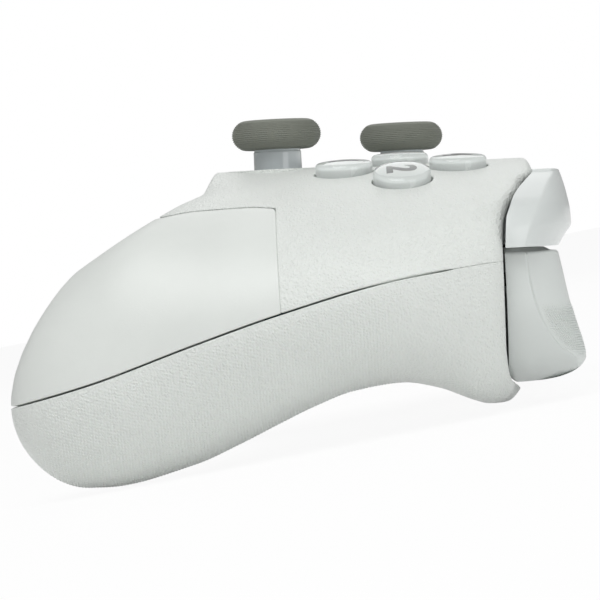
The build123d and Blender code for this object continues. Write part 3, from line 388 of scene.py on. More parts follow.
def clip(data, tris, value):
    """The part of a triangle mesh where value, one number for each vertex, is above 0."""
    inside = value > 0
    count = inside[tris].sum(axis=1)
    kept = [tris[count == 3]]
    mixed = [(tris[count == 1], True), (tris[count == 2], False)]
    pairs = []
    turned = []
    for group, wanted in mixed:
        first = np.argmax(inside[group] == wanted, axis=1)
        order = (first[:, None] + np.arange(3)) % 3
        group = np.take_along_axis(group, order, axis=1)
        turned.append(group)
        pairs += [group[:, [0, 1]], group[:, [0, 2]]]
    flat = np.sort(np.concatenate(pairs), axis=1)
    edges, index = np.unique(flat, axis=0, return_inverse=True)
    index = index.ravel() + len(data)
    low, high = value[edges[:, 0]], value[edges[:, 1]]
    share = (low / (low - high))[:, None]
    data = np.concatenate([data, data[edges[:, 0]] * (1 - share) + data[edges[:, 1]] * share])
    one, two = turned
    starts = np.cumsum([0] + [len(p) for p in pairs])
    e01, e02, f01, f02 = [index[starts[k]:starts[k + 1]] for k in range(4)]
    kept.append(np.column_stack([one[:, 0], e01, e02]))
    kept.append(np.column_stack([two[:, 1], two[:, 2], f02]))
    kept.append(np.column_stack([two[:, 1], f02, f01]))
    tris = np.concatenate(kept)
    used, tris = np.unique(tris, return_inverse=True)
    return data[used], tris.reshape(-1, 3)


def weld(data, tris, size=0.002):
    """Joins vertices that lie within a very small cell, and drops the triangles that vanish."""
    keys = np.round(data[:, :3] / size).astype(np.int64)
    unique, first, index = np.unique(keys, axis=0, return_index=True, return_inverse=True)
    tris = index.ravel()[tris]
    real = (tris[:, 0] != tris[:, 1]) & (tris[:, 1] != tris[:, 2]) & (tris[:, 0] != tris[:, 2])
    return data[first], tris[real]


def edge_ways(data, tris):
    """Directed boundary edges, and for each boundary vertex the way out of the surface along it."""
    sides = np.concatenate([tris[:, [0, 1]], tris[:, [1, 2]], tris[:, [2, 0]]])
    keys = {(a, b) for a, b in sides.tolist()}
    border = np.array([(a, b) for a, b in keys if (b, a) not in keys])
    ways = np.zeros((len(data), 3))
    for a, b in border:
        run = data[b, :3] - data[a, :3]
        for k in (a, b):
            ways[k] += np.cross(run, data[k, 3:6])
    return border, unit(ways)


def shell_mesh(data, tris, depth, lip):
    """Closed shell below a surface: rounded lips along its boundary, walls and an inner face."""
    data, tris = weld(data, tris)
    border, ways = edge_ways(data, tris)
    rim = np.unique(border)
    slot_of = {int(v): i for i, v in enumerate(rim)}
    place_of = np.array([[slot_of[int(a)], slot_of[int(b)]] for a, b in border])
    p, n, out = data[rim, :3], data[rim, 3:6], ways[rim]
    rings = []
    for angle in np.linspace(0, math.pi / 2, 5)[1:]:
        offset = lip * math.sin(angle) * out - lip * (1 - math.cos(angle)) * n
        rings.append(np.column_stack([p + offset, n * math.cos(angle) + out * math.sin(angle)]))
    rings.append(np.column_stack([p + lip * out - depth * n, out]))
    inner = data.copy()
    inner[:, :3] -= depth * data[:, 3:6]
    inner[:, 3:6] *= -1
    starts = len(data) + len(rim) * np.arange(len(rings) + 1)
    levels = [border] + [place_of + start for start in starts[:-1]] + [border + starts[-1]]
    faces = [tris]
    for above, below in zip(levels, levels[1:]):
        faces.append(np.column_stack([above[:, 1], above[:, 0], below[:, 0]]))
        faces.append(np.column_stack([above[:, 1], below[:, 0], below[:, 1]]))
    faces.append(tris[:, ::-1] + starts[-1])
    whole = np.concatenate([data] + rings + [inner])
    return whole[:, :3], np.concatenate(faces), whole[:, 3:6]


# Materials

def linear(r, g, b):
    """A colour written in plain 0 to 255 steps, as a shader takes it."""
    def one(v):
        v = v / 255
        return v / 12.92 if v <= 0.04045 else ((v + 0.055) / 1.055) ** 2.4
    return one(r), one(g), one(b)


def fill(tree, node, values):
    """Sets inputs of a shader node to numbers, colours or other nodes' outputs."""
    for name, value in values.items():
        if isinstance(value, bpy.types.NodeSocket):
            tree.links.new(value, node.inputs[name])
        else:
            node.inputs[name].default_value = value


def add_node(tree, kind, values, operation=None):
    """A shader node with some inputs filled."""
    node = tree.nodes.new("ShaderNode" + kind)
    if operation:
        node.operation = operation
    fill(tree, node, values)
    return node


def shader_tree(name):
    """A new material and its node tree."""
    m = bpy.data.materials.new(name)
    m.use_nodes = True
    return m, m.node_tree


def finish_material(name, colour, rough, grain=0.0, size=0.4, shade=0.03, metal=0.0, coat=0.0,
                    spread=0.08):
    """Moulded or machined stuff: slightly uneven colour and gloss, and a fine grain in relief.

    size is the grain's cell in millimetres, grain its relief, shade how far the colour varies
    and spread how far the roughness does.
    """
    m, tree = shader_tree(name)
    base = linear(*colour)
    where = add_node(tree, "TexCoord", {}).outputs["Object"]
    patches = add_node(tree, "TexNoise", {"Scale": 45.0, "Detail": 4.0, "Vector": where})
    patches = patches.outputs["Fac"]
    tint = add_node(tree, "ValToRGB", {"Fac": patches})
    low, high = tint.color_ramp.elements
    low.position, high.position = 0.3, 0.7
    low.color = tuple(c * (1 - shade) for c in base) + (1.0,)
    high.color = tuple(min(c * (1 + shade), 1.0) for c in base) + (1.0,)
    gloss = {"To Min": max(rough - spread, 0.02), "To Max": min(rough + spread, 1.0)}
    gloss = add_node(tree, "MapRange", {**gloss, "Value": patches})
    finish = {
        "Metallic": metal, "Coat Weight": coat, "Coat Roughness": 0.12,
        "Base Color": tint.outputs["Color"], "Roughness": gloss.outputs["Result"],
    }
    if grain:
        cells = add_node(tree, "TexVoronoi", {"Scale": 1 / (size * MM), "Vector": where})
        cells.feature = "SMOOTH_F1"
        cells.inputs["Smoothness"].default_value = 0.6
        fine = {"Scale": 1.6 / (size * MM), "Detail": 3.0, "Vector": where}
        fine = add_node(tree, "TexNoise", fine)
        both = {0: cells.outputs["Distance"], 1: fine.outputs["Fac"]}
        both = add_node(tree, "Math", both, "ADD").outputs["Value"]
        relief = {"Strength": grain, "Distance": 0.2 * MM, "Height": both}
        finish["Normal"] = add_node(tree, "Bump", relief).outputs["Normal"]
    fill(tree, tree.nodes["Principled BSDF"], finish)
    return m


def clear_material(name, colour, rough):
    """Clear moulded plastic with a faint unevenness in its polish."""
    m = finish_material(name, colour, rough, shade=0.0, spread=0.02)
    fill(m.node_tree, m.node_tree.nodes["Principled BSDF"],
         {"Transmission Weight": 1.0, "IOR": 1.47})
    return m


SHELL = finish_material("shell_plastic", (235, 239, 235), 0.40, grain=0.9, size=0.50)
COVER = finish_material("cover_plastic", (231, 235, 231), 0.40, grain=0.10, size=0.30)
GLOSS = finish_material("trigger_plastic", (224, 229, 226), 0.32, shade=0.01, spread=0.02)
PEARL = finish_material("bumper_plastic", (222, 227, 225), 0.30, coat=0.25, spread=0.03)
STEM = finish_material("stem_plastic", (216, 224, 226), 0.16, coat=0.8, spread=0.03)
RUBBER = finish_material("stick_rubber", (129, 132, 123), 0.72, grain=0.25, size=0.25, shade=0.06)
BUTTON_WHITE = finish_material("button_core", (226, 230, 228), 0.35, spread=0.03)
BUTTON_CLEAR = clear_material("button_clear", (250, 252, 251), 0.03)
GLYPH = finish_material("glyph_grey", (92, 96, 93), 0.55)
DARK = finish_material("dark_plastic", (44, 45, 46), 0.55, grain=0.2, size=0.4)
STEEL = finish_material("steel", (176, 178, 180), 0.28, metal=1.0, grain=0.1, size=0.5)
BOARD = finish_material("board_green", (38, 84, 62), 0.45, grain=0.2, size=0.8)
SILICONE = finish_material("silicone", (208, 210, 206), 0.6, grain=0.1, size=0.5)
CELL = finish_material("battery_wrap", (60, 92, 120), 0.4, grain=0.1, size=1.5)
BRASS = finish_material("brass", (190, 152, 82), 0.3, metal=1.0)


# Fine shells

def body_grid(upwards, columns=300, rows=170, dense=360):
    """Upper or lower surface of the body as a grid of places with normals."""
    turn_at = np.linspace(-math.pi / 2 + 0.004, math.pi / 2 - 0.004, columns)
    xs = flank[:, 0].max() * np.sin(turn_at)
    ends = np.array([outline_ends(x) for x in xs])
    sweep = (1 - np.cos(np.linspace(0, math.pi, dense))) / 2
    y = ends[:, :1] + (ends[:, 1:] - ends[:, :1]) * sweep
    x = np.broadcast_to(xs[:, None], y.shape)
    height = top_height if upwards > 0 else bottom_height
    z = height(x.ravel(), y.ravel()).reshape(y.shape)
    z[:, 0] = seam_height(ends[:, 0])
    z[:, -1] = seam_height(ends[:, 1])
    grid = np.zeros((columns, rows, 3))
    at = np.linspace(0, 1, rows)
    for i in range(columns):
        run = run_along(y[i], z[i])
        weight = 0.6 * run / run[-1] + 0.4 * np.linspace(0, 1, dense)
        grid[i, :, 0] = xs[i]
        grid[i, :, 1] = np.interp(at, weight, y[i])
        grid[i, :, 2] = np.interp(at, weight, z[i])
    across = np.gradient(grid, axis=0)
    along = np.gradient(grid, axis=1)
    normal = unit(np.cross(across, along)) * upwards
    data = np.concatenate([grid, normal], axis=2).reshape(-1, 6)
    return data, grid_faces(columns, rows, flip=upwards < 0)


def past_seam(p, upwards):
    """Above 0 on one side of the seam, whose gap nearly closes at its front end."""
    gap = SEAM_GAP - SEAM_CLOSING * ease(p[:, 1], *SEAM_END)
    return upwards * (p[:, 2] - seam_height(p[:, 1])) - gap - LIP


def behind_shoulder(p, wing_x, room_x):
    """Above 0 where a shell is kept at its front: between the bumpers, and beside the bridge."""
    places = sorted((z * FACE_HEIGHT, y * FRONT_REACH) for y, z in SHOULDER)
    limit = curve_through(places, p[:, 2]) + SHOULDER_SHIFT
    x = np.abs(p[:, 0])
    wings = np.maximum.reduce([
        limit - p[:, 1], p[:, 2] - places[-1][0], places[0][0] - p[:, 2], wing_x - x,
    ])
    room = np.maximum.reduce([
        x - room_x, BRIDGE_Y - p[:, 1], p[:, 2] - BRIDGE_ROOM[1], BRIDGE_ROOM[0] - p[:, 2],
    ])
    return np.minimum(wings, room) - LIP


def outside_swing(p):
    """Above 0 outside the space in which the lower ends of the triggers swing."""
    x, y, z = np.abs(p[:, 0]), p[:, 1], p[:, 2]
    return np.maximum.reduce([
        CHEEK_X - x, x - SWING_OUTER_X, SWING_BACK - y,
        np.hypot(y - SWING_AXIS[0], z - SWING_AXIS[1]) - SWING_REACH,
    ]) - LIP


def soft_rim(data, tris, gap):
    """Rolls a surface inwards where the gap to its trimmed edge is small."""
    depth = RIM_ROUND - np.sqrt(RIM_ROUND**2 - np.clip(RIM_ROUND - gap, 0, RIM_ROUND)**2)
    data = data.copy()
    data[:, :3] -= RIM_SHARE * depth[:, None] * data[:, 3:6] * np.array([1, 0, 1])
    rolled = (gap < RIM_ROUND + 0.6) & (gap > -1)
    fresh = area_normals(data[:, :3], tris)
    data[rolled, 3:6] = fresh[rolled]
    return data, tris


def in_cover(p):
    """Above 0 inside the outline of the grip covers."""
    top = FACE_HEIGHT * curve_through(COVER_TOP, p[:, 1] / GRIP_REACH)
    edge = COVER_EDGE_Y + COVER_LEAN * (COVER_EDGE_Z - p[:, 2])
    return np.minimum.reduce([top - p[:, 2], edge - p[:, 1], np.abs(p[:, 0]) - COVER_INNER_X])


def outside_circle(p, x, y, radius):
    """Above 0 outside an upright round hole."""
    return np.hypot(p[:, 0] - x, p[:, 1] - y) - radius


face, face_tris = body_grid(1)
face, face_tris = clip(face, face_tris, past_seam(face, 1))
cover_data = clip(face, face_tris, in_cover(face) - LIP)
face, face_tris = clip(face, face_tris, -in_cover(face) - LIP)
limits = (BRIDGE_HALF_WIDTH, BRIDGE_HALF_WIDTH + WALL)
face, face_tris = weld(*clip(face, face_tris, behind_shoulder(face, *limits)))
face, face_tris = soft_rim(face, face_tris, behind_shoulder(face, *limits))
holes = [(x, y, STICK_HOLE) for x, y in STICKS.values()]
holes += [(x, y, BUTTON_RADIUS + BUTTON_GAP) for x, y in BUTTONS.values()]
holes += [(x, y, radius + BUTTON_GAP) for x, y, radius in SMALL_BUTTONS.values()]
holes += [(*DPAD, DPAD_HOLE)]
for x, y, radius in holes:
    face, face_tris = clip(face, face_tris, outside_circle(face, x, y, radius + LIP))
fine("front_shell", *shell_mesh(face, face_tris, SKIN, LIP), "body", SHELL)
for side, sign in (("left", -1), ("right", 1)):
    data, tris = clip(*cover_data, sign * cover_data[0][:, 0])
    fine(f"{side}_grip_cover", *shell_mesh(data, tris, SKIN, LIP), "body", COVER)

back, back_tris = body_grid(-1)
back, back_tris = clip(back, back_tris, past_seam(back, -1))
limits = (CHEEK_X, BRIDGE_HALF_WIDTH + CHIN_GAP)
back, back_tris = weld(*clip(back, back_tris, behind_shoulder(back, *limits)))
back, back_tris = soft_rim(back, back_tris, behind_shoulder(back, *limits))
back, back_tris = clip(back, back_tris, outside_swing(back))
for x, y in SCREWS:
    back, back_tris = clip(back, back_tris, outside_circle(back, x, y, SCREW_HOLE + LIP))
verts, faces, normals = shell_mesh(back, back_tris, SKIN, LIP)
# Walls round the triggers' space stay out of their swing
span, arm = np.abs(verts[:, 0]), verts[:, 1:] - np.array(SWING_AXIS)
reach = np.hypot(arm[:, 0], arm[:, 1])
swept = (span > CHEEK_X + 0.02) & (span < SWING_OUTER_X + CHIN_GAP)
swept &= (verts[:, 1] > SWING_BACK - CHIN_GAP) & (arm[:, 1] < -SWING_REACH / 2)
swept &= reach < SWING_REACH
verts[swept, 1:] = np.array(SWING_AXIS) + arm[swept] * (SWING_REACH / reach[swept])[:, None]
fine("rear_shell", verts, faces, normals, "body", SHELL)


def rounded_plate(outline, x_range, edge):
    """Closed plate across x: a profile of (y, z) places between two stations, its rims bevelled."""
    outline = np.array(outline)
    middle = outline.mean(axis=0)
    low, high = x_range
    steps = [(low, edge), (low + edge, 0), (high - edge, 0), (high, edge)]
    verts = [(low, *middle)]
    for x, inset in steps:
        verts += [(x, *(q - (q - middle) / np.linalg.norm(q - middle) * inset)) for q in outline]
    verts.append((high, *middle))
    return np.array(verts), ring_faces(len(outline), len(steps))


stations = np.linspace(CHEEK_BACK, CHEEK_FRONT, 12)
cheek_floor = bottom_height(np.full(12, CHEEK_X), stations) + WALL / 2
cheek_top = seam_height(CHEEK_TOP_Y) - CHIN_GAP
profile = list(zip(stations, cheek_floor))
profile += [(CHEEK_FRONT, z) for z in np.linspace(cheek_floor[-1], cheek_top, 6)[1:]]
profile += [(CHEEK_NOTCH[0], cheek_top), CHEEK_NOTCH, (CHEEK_BACK, CHEEK_NOTCH[1])]
for side, sign in SIDES:
    verts, faces = rounded_plate(profile, (CHEEK_X - CHEEK_THICKNESS, CHEEK_X), 0.25)
    faces = [f[::sign] for f in faces]
    verts = verts * np.array([sign, 1, 1])
    cheek = add_mesh(f"{side}_chin_cheek", verts, faces, "body", SHELL)
    cheek.data.set_sharp_from_angle(angle=math.radians(30))


# Turned pieces

def lathe(profile, steps=128):
    """Closed solid turned round the z axis from a profile of (radius, z), first and last on it."""
    verts = [(0, 0, profile[0][1])]
    turns = np.linspace(0, 2 * math.pi, steps, endpoint=False)
    for r, z in profile[1:-1]:
        verts += [(r * math.cos(a), r * math.sin(a), z) for a in turns]
    verts.append((0, 0, profile[-1][1]))
    return np.array(verts, float), ring_faces(steps, len(profile) - 2)


def turned(name, profile, side, material, node, sharp=35):
    """A turned piece on a stick's axis that takes the place of a node."""
    verts, faces = lathe(profile)
    verts = verts + np.array([*STICKS[side], 0])
    piece = add_mesh(name, verts, faces, f"{side}_stick", material, replaces=[node])
    piece.data.set_sharp_from_angle(angle=math.radians(sharp))


def arc(r, z, radius, start, end, count):
    """Places on an arc in a profile; angles in degrees from the outward way."""
    return [(r + radius * math.cos(math.radians(a)), z + radius * math.sin(math.radians(a)))
            for a in np.linspace(start, end, count)]


CAP_MIDDLE = 32.6
CAP_HALF = 2.9
CAP_RADIUS = 8.7
RIB_DEPTH = 0.16
RIB_COUNT = 15
CAP_DISH = 1.2
STEM_RADIUS = 4.6
cap_low = CAP_MIDDLE - CAP_HALF
for side in STICKS:
    flat = CAP_RADIUS - CAP_HALF
    profile = [(0, cap_low + 0.25), (4.9, cap_low + 0.25), (5.1, cap_low)]
    for a in np.linspace(-88, 100, 190):
        ribbed = ease(a, -66, -58) * (1 - ease(a, 52, 60))
        wave = 0.5 - 0.5 * math.cos(2 * math.pi * RIB_COUNT * (a + 62) / 118)
        far = CAP_HALF - RIB_DEPTH * wave * float(ribbed)
        profile += arc(flat, CAP_MIDDLE, far, a, a, 1)
    top = CAP_MIDDLE + CAP_HALF
    for share in np.linspace(0.86, 0.06, 26):
        r = flat * share
        ripple = 0.05 * (0.5 - 0.5 * math.cos(2 * math.pi * r / 0.8)) if 2.2 < r < 4.6 else 0.0
        profile.append((r, top - CAP_DISH * (1 - share**2) - ripple))
    profile.append((0, top - CAP_DISH))
    turned(f"fine_{side}_stick_cap", profile, side, RUBBER, f"{side}_stick_cap", sharp=50)
    foot = FACE_HEIGHT - 1.2
    stem = [(0, 16.0), (1.6, 16.0), (1.6, foot - 0.3)]
    stem += arc(STEM_RADIUS, foot - 0.1, 0.4, -60, 20, 6) + [(4.78, foot + 0.9)]
    stem += [(4.65, foot + 1.4), (4.62, cap_low - 0.5), (4.5, cap_low - 0.35)]
    stem += [(4.5, cap_low + 0.2), (0, cap_low + 0.2)]
    turned(f"fine_{side}_stick_stem", stem, side, STEM, f"{side}_stick_shaft")


# Face buttons: a white core with a numeral under a clear dome

DOME = 30.0
RISE_OF_BUTTON = 2.3
BUTTON_LEAN = 0.22
BUTTON_LEAN_X = (36, 51)
BUTTON_DEPTH = 4.2
DOME_EDGE = 0.7
CORE_INSET = 0.6
CORE_EDGE = 0.4
CORE_SINK = 0.75
NUMERAL_HEIGHT = 0.3
NUMERAL_SIZE = 7.4
RING = 96


def upper_normal(x, y):
    """Way out of the face at a place."""
    heights = top_height(np.array([x - WALL, x + WALL, x, x]), np.array([y, y, y - WALL, y + WALL]))
    return unit(np.array([heights[0] - heights[1], heights[2] - heights[3], 4 * WALL]))


def domed_column(x, y, radius, edge, sink, bottom):
    """Round column whose top is the button's dome, sunk by a depth, with a rounded edge."""
    n = upper_normal(x, y)
    lean = BUTTON_LEAN * float(ease(x, *BUTTON_LEAN_X))
    n = unit(np.array([n[0] / n[2] + lean, n[1] / n[2], 1]))
    peak = np.array([x, y, top_height(x, y)[0]]) + n * (RISE_OF_BUTTON - sink)
    centre = peak - n * DOME
    turns = np.linspace(0, 2 * math.pi, RING, endpoint=False)
    inner = radius - edge
    bends = np.linspace(0, math.pi / 2, 9)[1:]
    reach = list(np.linspace(0.08, 1, 14) * inner) + [inner + edge * math.sin(a) for a in bends]
    drop = [0.0] * 14 + [edge * (1 - math.cos(a)) for a in bends]

    def dome_z(px, py):
        return centre[2] + math.sqrt(DOME**2 - (px - centre[0])**2 - (py - centre[1])**2)

    verts = [(x, y, dome_z(x, y))]
    for r, d in zip(reach, drop):
        for a in turns:
            px, py = x + r * math.cos(a), y + r * math.sin(a)
            verts.append((px, py, dome_z(px, py) - d))
    rim = verts[-RING:]
    for share in (0.5, 1.0):
        verts += [(px, py, top + (bottom - top) * share) for px, py, top in rim]
    verts.append((x, y, bottom))
    return np.array(verts), ring_faces(RING, len(reach) + 2, flip=True), dome_z


def numeral(node, x, y, height_at):
    """A button's number, raised on its curved top."""
    name = f"{node}_numeral"
    curve = bpy.data.curves.new(name, "FONT")
    curve.body = node[-1]
    curve.size = NUMERAL_SIZE
    curve.offset = NUMERAL_SIZE * 0.035
    curve.extrude = NUMERAL_HEIGHT / 2
    curve.resolution_u = 6
    holder = bpy.data.objects.new(name + "_curve", curve)
    scene.collection.objects.link(holder)
    bpy.context.view_layer.update()
    depsgraph = bpy.context.evaluated_depsgraph_get()
    mesh = bpy.data.meshes.new_from_object(holder.evaluated_get(depsgraph))
    bpy.data.objects.remove(holder)
    verts = np.array([v.co for v in mesh.vertices])
    faces = [tuple(p.vertices) for p in mesh.polygons]
    bpy.data.meshes.remove(mesh)
    verts[:, :2] -= (verts[:, :2].min(axis=0) + verts[:, :2].max(axis=0)) / 2
    out = [(x + v[0], y + v[1], height_at(x + v[0], y + v[1]) + v[2]) for v in verts]
    piece = add_mesh(name, out, faces, node, GLYPH)
    piece.data.set_sharp_from_angle(angle=math.radians(30))


for node, (x, y) in BUTTONS.items():
    sill = top_height(x, y)[0] - BUTTON_DEPTH
    verts, faces, dome_z = domed_column(x, y, BUTTON_RADIUS, DOME_EDGE, 0.0, sill)
    add_mesh(f"{node}_dome", verts, faces, node, BUTTON_CLEAR, replaces=[node])
    radius = BUTTON_RADIUS - CORE_INSET
    verts, faces, core_z = domed_column(x, y, radius, CORE_EDGE, CORE_SINK, sill + 0.3)
    add_mesh(f"{node}_core", verts, faces, node, BUTTON_WHITE)
    numeral(node, x, y, core_z)


# Raised dots on the grips

DOT_PITCH = 0.66
DOT_RADIUS = 0.25
DOT_HEIGHT = 0.075
DOTS_BACK = -51.0
DOTS_FRONT = 21.5


def grip_dots():
    """Low round-topped dots in staggered rows under the grips, fading out at the patch's edges."""
    patch = []
    rows = np.arange(DOTS_BACK, DOTS_FRONT, DOT_PITCH * 0.866)
    for r, y in enumerate(rows):
        outer = float(np.interp(y, flank[:, 1], flank[:, 0]))
        inner = float(np.interp(y, arch[:, 1][::-1], arch[:, 0][::-1])) if y < arch[0, 1] else 22.0
        sweep = (1 - np.cos(np.linspace(0, math.pi, 260))) / 2
        x = inner + (outer - inner) * sweep[::-1]
        z = bottom_height(x, np.full_like(x, y))
        run = run_along(x, z)
        at = np.arange(0.8 + (r % 2) * DOT_PITCH / 2, run[-1] - 0.8, DOT_PITCH)
        px = np.interp(at, run, x)
        pz = np.interp(at, run, z)
        step = 0.1
        ahead = bottom_height(px, np.full_like(px, y + step))
        behind = bottom_height(px, np.full_like(px, y - step))
        slope_y = (ahead - behind) / (2 * step)
        gx = np.interp(at + step, run, x) - np.interp(at - step, run, x)
        gz = np.interp(at + step, run, z) - np.interp(at - step, run, z)
        flat = np.zeros_like(gz)
        side = unit(np.column_stack([gz, flat, -gx]))
        side = np.where(side[:, 2:] > 0, -side, side)
        steep = np.clip(slope_y, -3, 3)
        n = unit(side + np.column_stack([flat, steep * -side[:, 2], flat]))
        fade = ease(at, 0.8, 2.6) * ease(run[-1] - at, 1.0, 8.0)
        fade = fade * ease(y, DOTS_BACK, -44.0) * (1 - ease(y, 15.0, 21.0))
        keep = fade > 0.12
        centres = np.column_stack([px, np.full_like(px, y), pz])
        patch.append((centres[keep], n[keep], fade[keep]))
    return [np.concatenate(part) for part in zip(*patch)]


def dot_mesh(centres, normals, scales, radius, height, sides=6):
    """Many small domes in one mesh, each a ring, a higher ring and a peak."""
    side = unit(np.cross(normals, np.array([0.0, 1.0, 0.2])))
    other = np.cross(normals, side)
    layers = [(1.0, -0.35), (0.62, 0.75)]
    verts = []
    for out, up in layers:
        for k in range(sides):
            a = 2 * math.pi * k / sides
            spoke = side * math.cos(a) + other * math.sin(a)
            wide = radius * out * (0.6 + 0.4 * scales)
            lift = normals * (height * up * scales)[:, None]
            verts.append(centres + spoke * wide[:, None] + lift)
    verts.append(centres + normals * (height * scales)[:, None])
    verts.append(centres - normals * (height * 0.9))
    stacked = np.stack(verts, axis=1)
    count = stacked.shape[1]
    faces = []
    for k in range(sides):
        j = (k + 1) % sides
        faces += [(k, j, sides + j), (k, sides + j, sides + k), (sides + k, sides + j, 2 * sides)]
        faces.append((j, k, 2 * sides + 1))
    base = np.array(faces)
    tris = (base[None] + (np.arange(len(centres)) * count)[:, None, None]).reshape(-1, 3)
    return stacked.reshape(-1, 3), tris


spots, ways, sizes = grip_dots()
for side, sign in SIDES:
    flip = np.array([sign, 1, 1])
    verts, tris = dot_mesh(spots * flip, ways * flip, sizes, DOT_RADIUS, DOT_HEIGHT)
    add_mesh(f"{side}_grip_dots", verts, tris, "body", SHELL)


# Fine bumpers and triggers

PLATEAU = (0.80, 0.93)


def hood(section, heights, edge, depth, rise=0.0, floor=None):
    """Surface of a hood open at its back: a top with a rounded edge, and a wall down to a floor.

    section(z) gives the wall's plan line at a height, from its inner to its outer back end, and
    heights run down from the top, whose middle stands up by rise. With a floor, a height for each
    y, the wall ends on it and the underside is closed too. An inner face lies depth further in.
    """
    top = heights[0]
    line = section(top - edge)
    way = unit(np.gradient(line, axis=0))
    out = np.column_stack([-way[:, 1], way[:, 0]])
    out[0, 1] = out[-1, 1] = 0
    middle = np.array([(line[0, 0] + line[-1, 0]) / 2, line[0, 1]])
    rows, rounding_rows = [], []
    for angle in np.linspace(0, math.pi / 2, 7)[:-1]:
        flat = line - out * edge * (1 - math.sin(angle))
        level = np.full(len(line), top - edge + edge * math.cos(angle))
        rounding_rows.append(np.column_stack([flat, level]))
    first = rounding_rows[0]
    for share in np.linspace(0, 1, 16)[:-1]:
        flat = middle + share * (first[:, :2] - middle)
        level = first[:, 2] + rise * (1 - float(ease(share, *PLATEAU)))
        rows.append(np.column_stack([flat, level]))
    rows += rounding_rows
    shares = (top - edge - heights[1:]) / (top - edge - heights[-1])
    lines = np.array([section(z) for z in heights[1:]])
    if floor is None:
        for z, flat in zip(heights[1:], lines):
            rows.append(np.column_stack([flat, np.full(len(flat), z)]))
    else:
        count = lines.shape[1]
        ends = np.zeros(count)
        for j in range(count):
            over = heights[1:] - floor(lines[:, j, 1])
            last = int(np.argmax(over < 0)) if (over < 0).any() else len(over) - 1
            part = over[last - 1] / (over[last - 1] - over[last])
            ends[j] = heights[last] + part * (heights[last + 1] - heights[last])
        down = heights[1:][::-1]
        for share in shares:
            z = top - edge + share * (ends - top + edge)
            flat = [[np.interp(z[j], down, lines[::-1, j, k]) for k in (0, 1)]
                    for j in range(count)]
            rows.append(np.column_stack([flat, z]))
        last_row = rows[-1]
        for share in np.linspace(1, 0, 20)[1:]:
            flat = middle + share * (last_row[:, :2] - middle)
            rows.append(np.column_stack([flat, floor(flat[:, 1])]))
    grid = np.array(rows)
    points = grid.reshape(-1, 3)
    tris = grid_faces(grid.shape[0], grid.shape[1])
    points, tris = weld(points, tris)
    normals = area_normals(points, tris)
    centre = np.array([middle[0], middle[1], (heights[0] + heights[-1]) / 2])
    if ((points - centre) * normals).sum() < 0:
        tris = tris[:, ::-1]
        normals = -normals
    inner = centre + (points - centre) * (1 - 2 * depth / np.ptp(points, axis=0))
    inner[:, 1] = np.where(points[:, 1] <= points[:, 1].min() + 0.01, points[:, 1], inner[:, 1])
    border, ways = edge_ways(np.column_stack([points, normals]), tris)
    count = len(points)
    band = [np.column_stack([border[:, 1], border[:, 0], border[:, 0] + count]),
            np.column_stack([border[:, 1], border[:, 0] + count, border[:, 1] + count])]
    faces = np.concatenate([tris, tris[:, ::-1] + count] + band)
    return np.concatenate([points, inner]), faces, np.concatenate([normals, -normals])


def both_sides(node, verts, tris, normals, material):
    """A fine piece drawn for the right side, and its mirror image on the left."""
    for side, sign in SIDES:
        flip = np.array([sign, 1, 1])
        part = f"{side}_{node}"
        fine(part, verts * flip, tris[:, ::sign], normals * flip, part, material)


def soften(line, at, reach):
    """The same plan line with its corner at one index rounded over some places each way."""
    line = line.copy()
    start, end = line[at - reach].copy(), line[at + reach].copy()
    corner = line[at].copy()
    for k in range(1, 2 * reach):
        t = k / (2 * reach)
        line[at - reach + k] = (1 - t)**2 * start + 2 * t * (1 - t) * corner + t**2 * end
    return line


# Heights run up: (height, y or x); the floor's places are (y, height)
TRIGGER_FRONT = [
    (-17.5, 53.8), (-14.0, 53.7), (-12.4, 53.4), (-11.0, 53.1), (-9.1, 52.7), (-6.6, 52.0),
    (-4.0, 51.3), (-1.0, 50.6), (2.2, 50.0), (5.0, 49.5), (7.9, 48.9),
]
TRIGGER_CREASE = [
    (-17.5, 51.8), (-14.0, 51.6), (-12.4, 51.2), (-11.6, 50.5), (-10.6, 49.0), (-9.6, 47.9),
    (-7.2, 46.2), (-4.0, 44.7), (-0.3, 43.6), (3.4, 43.0), (7.9, 42.7),
]
TRIGGER_OUTER = [
    (-17.5, 50.0), (-16.0, 54.0), (-14.0, 58.7), (-12.0, 61.5), (-10.0, 63.1), (-8.0, 64.4),
    (-6.0, 65.4), (-4.0, 66.2), (-2.0, 66.8), (0.0, 67.05), (3.0, 67.1), (7.5, 66.9),
]
TRIGGER_FLOOR = [
    (38.0, -14.4), (39.0, -15.5), (40.6, -16.6), (43.7, -16.5), (47.5, -16.0), (50.3, -15.1),
    (51.9, -14.1), (52.9, -13.0), (53.4, -12.0), (53.6, -11.0),
]
TRIGGER_BACK = 38.75
TRIGGER_INNER = 31.0
TRIGGER_TOP = 7.7
TRIGGER_LOW = -17.4
TRIGGER_EDGE = 0.7
TRIGGER_CORNER = 3.5
TRIGGER_WALL = 1.5
TRIGGER_SWELL = 0.7
CREASE_STEP = 0.8
CREASE_INSET = 0.25
CREASE_DROP = 0.12
FINGER_POWER = 2.4


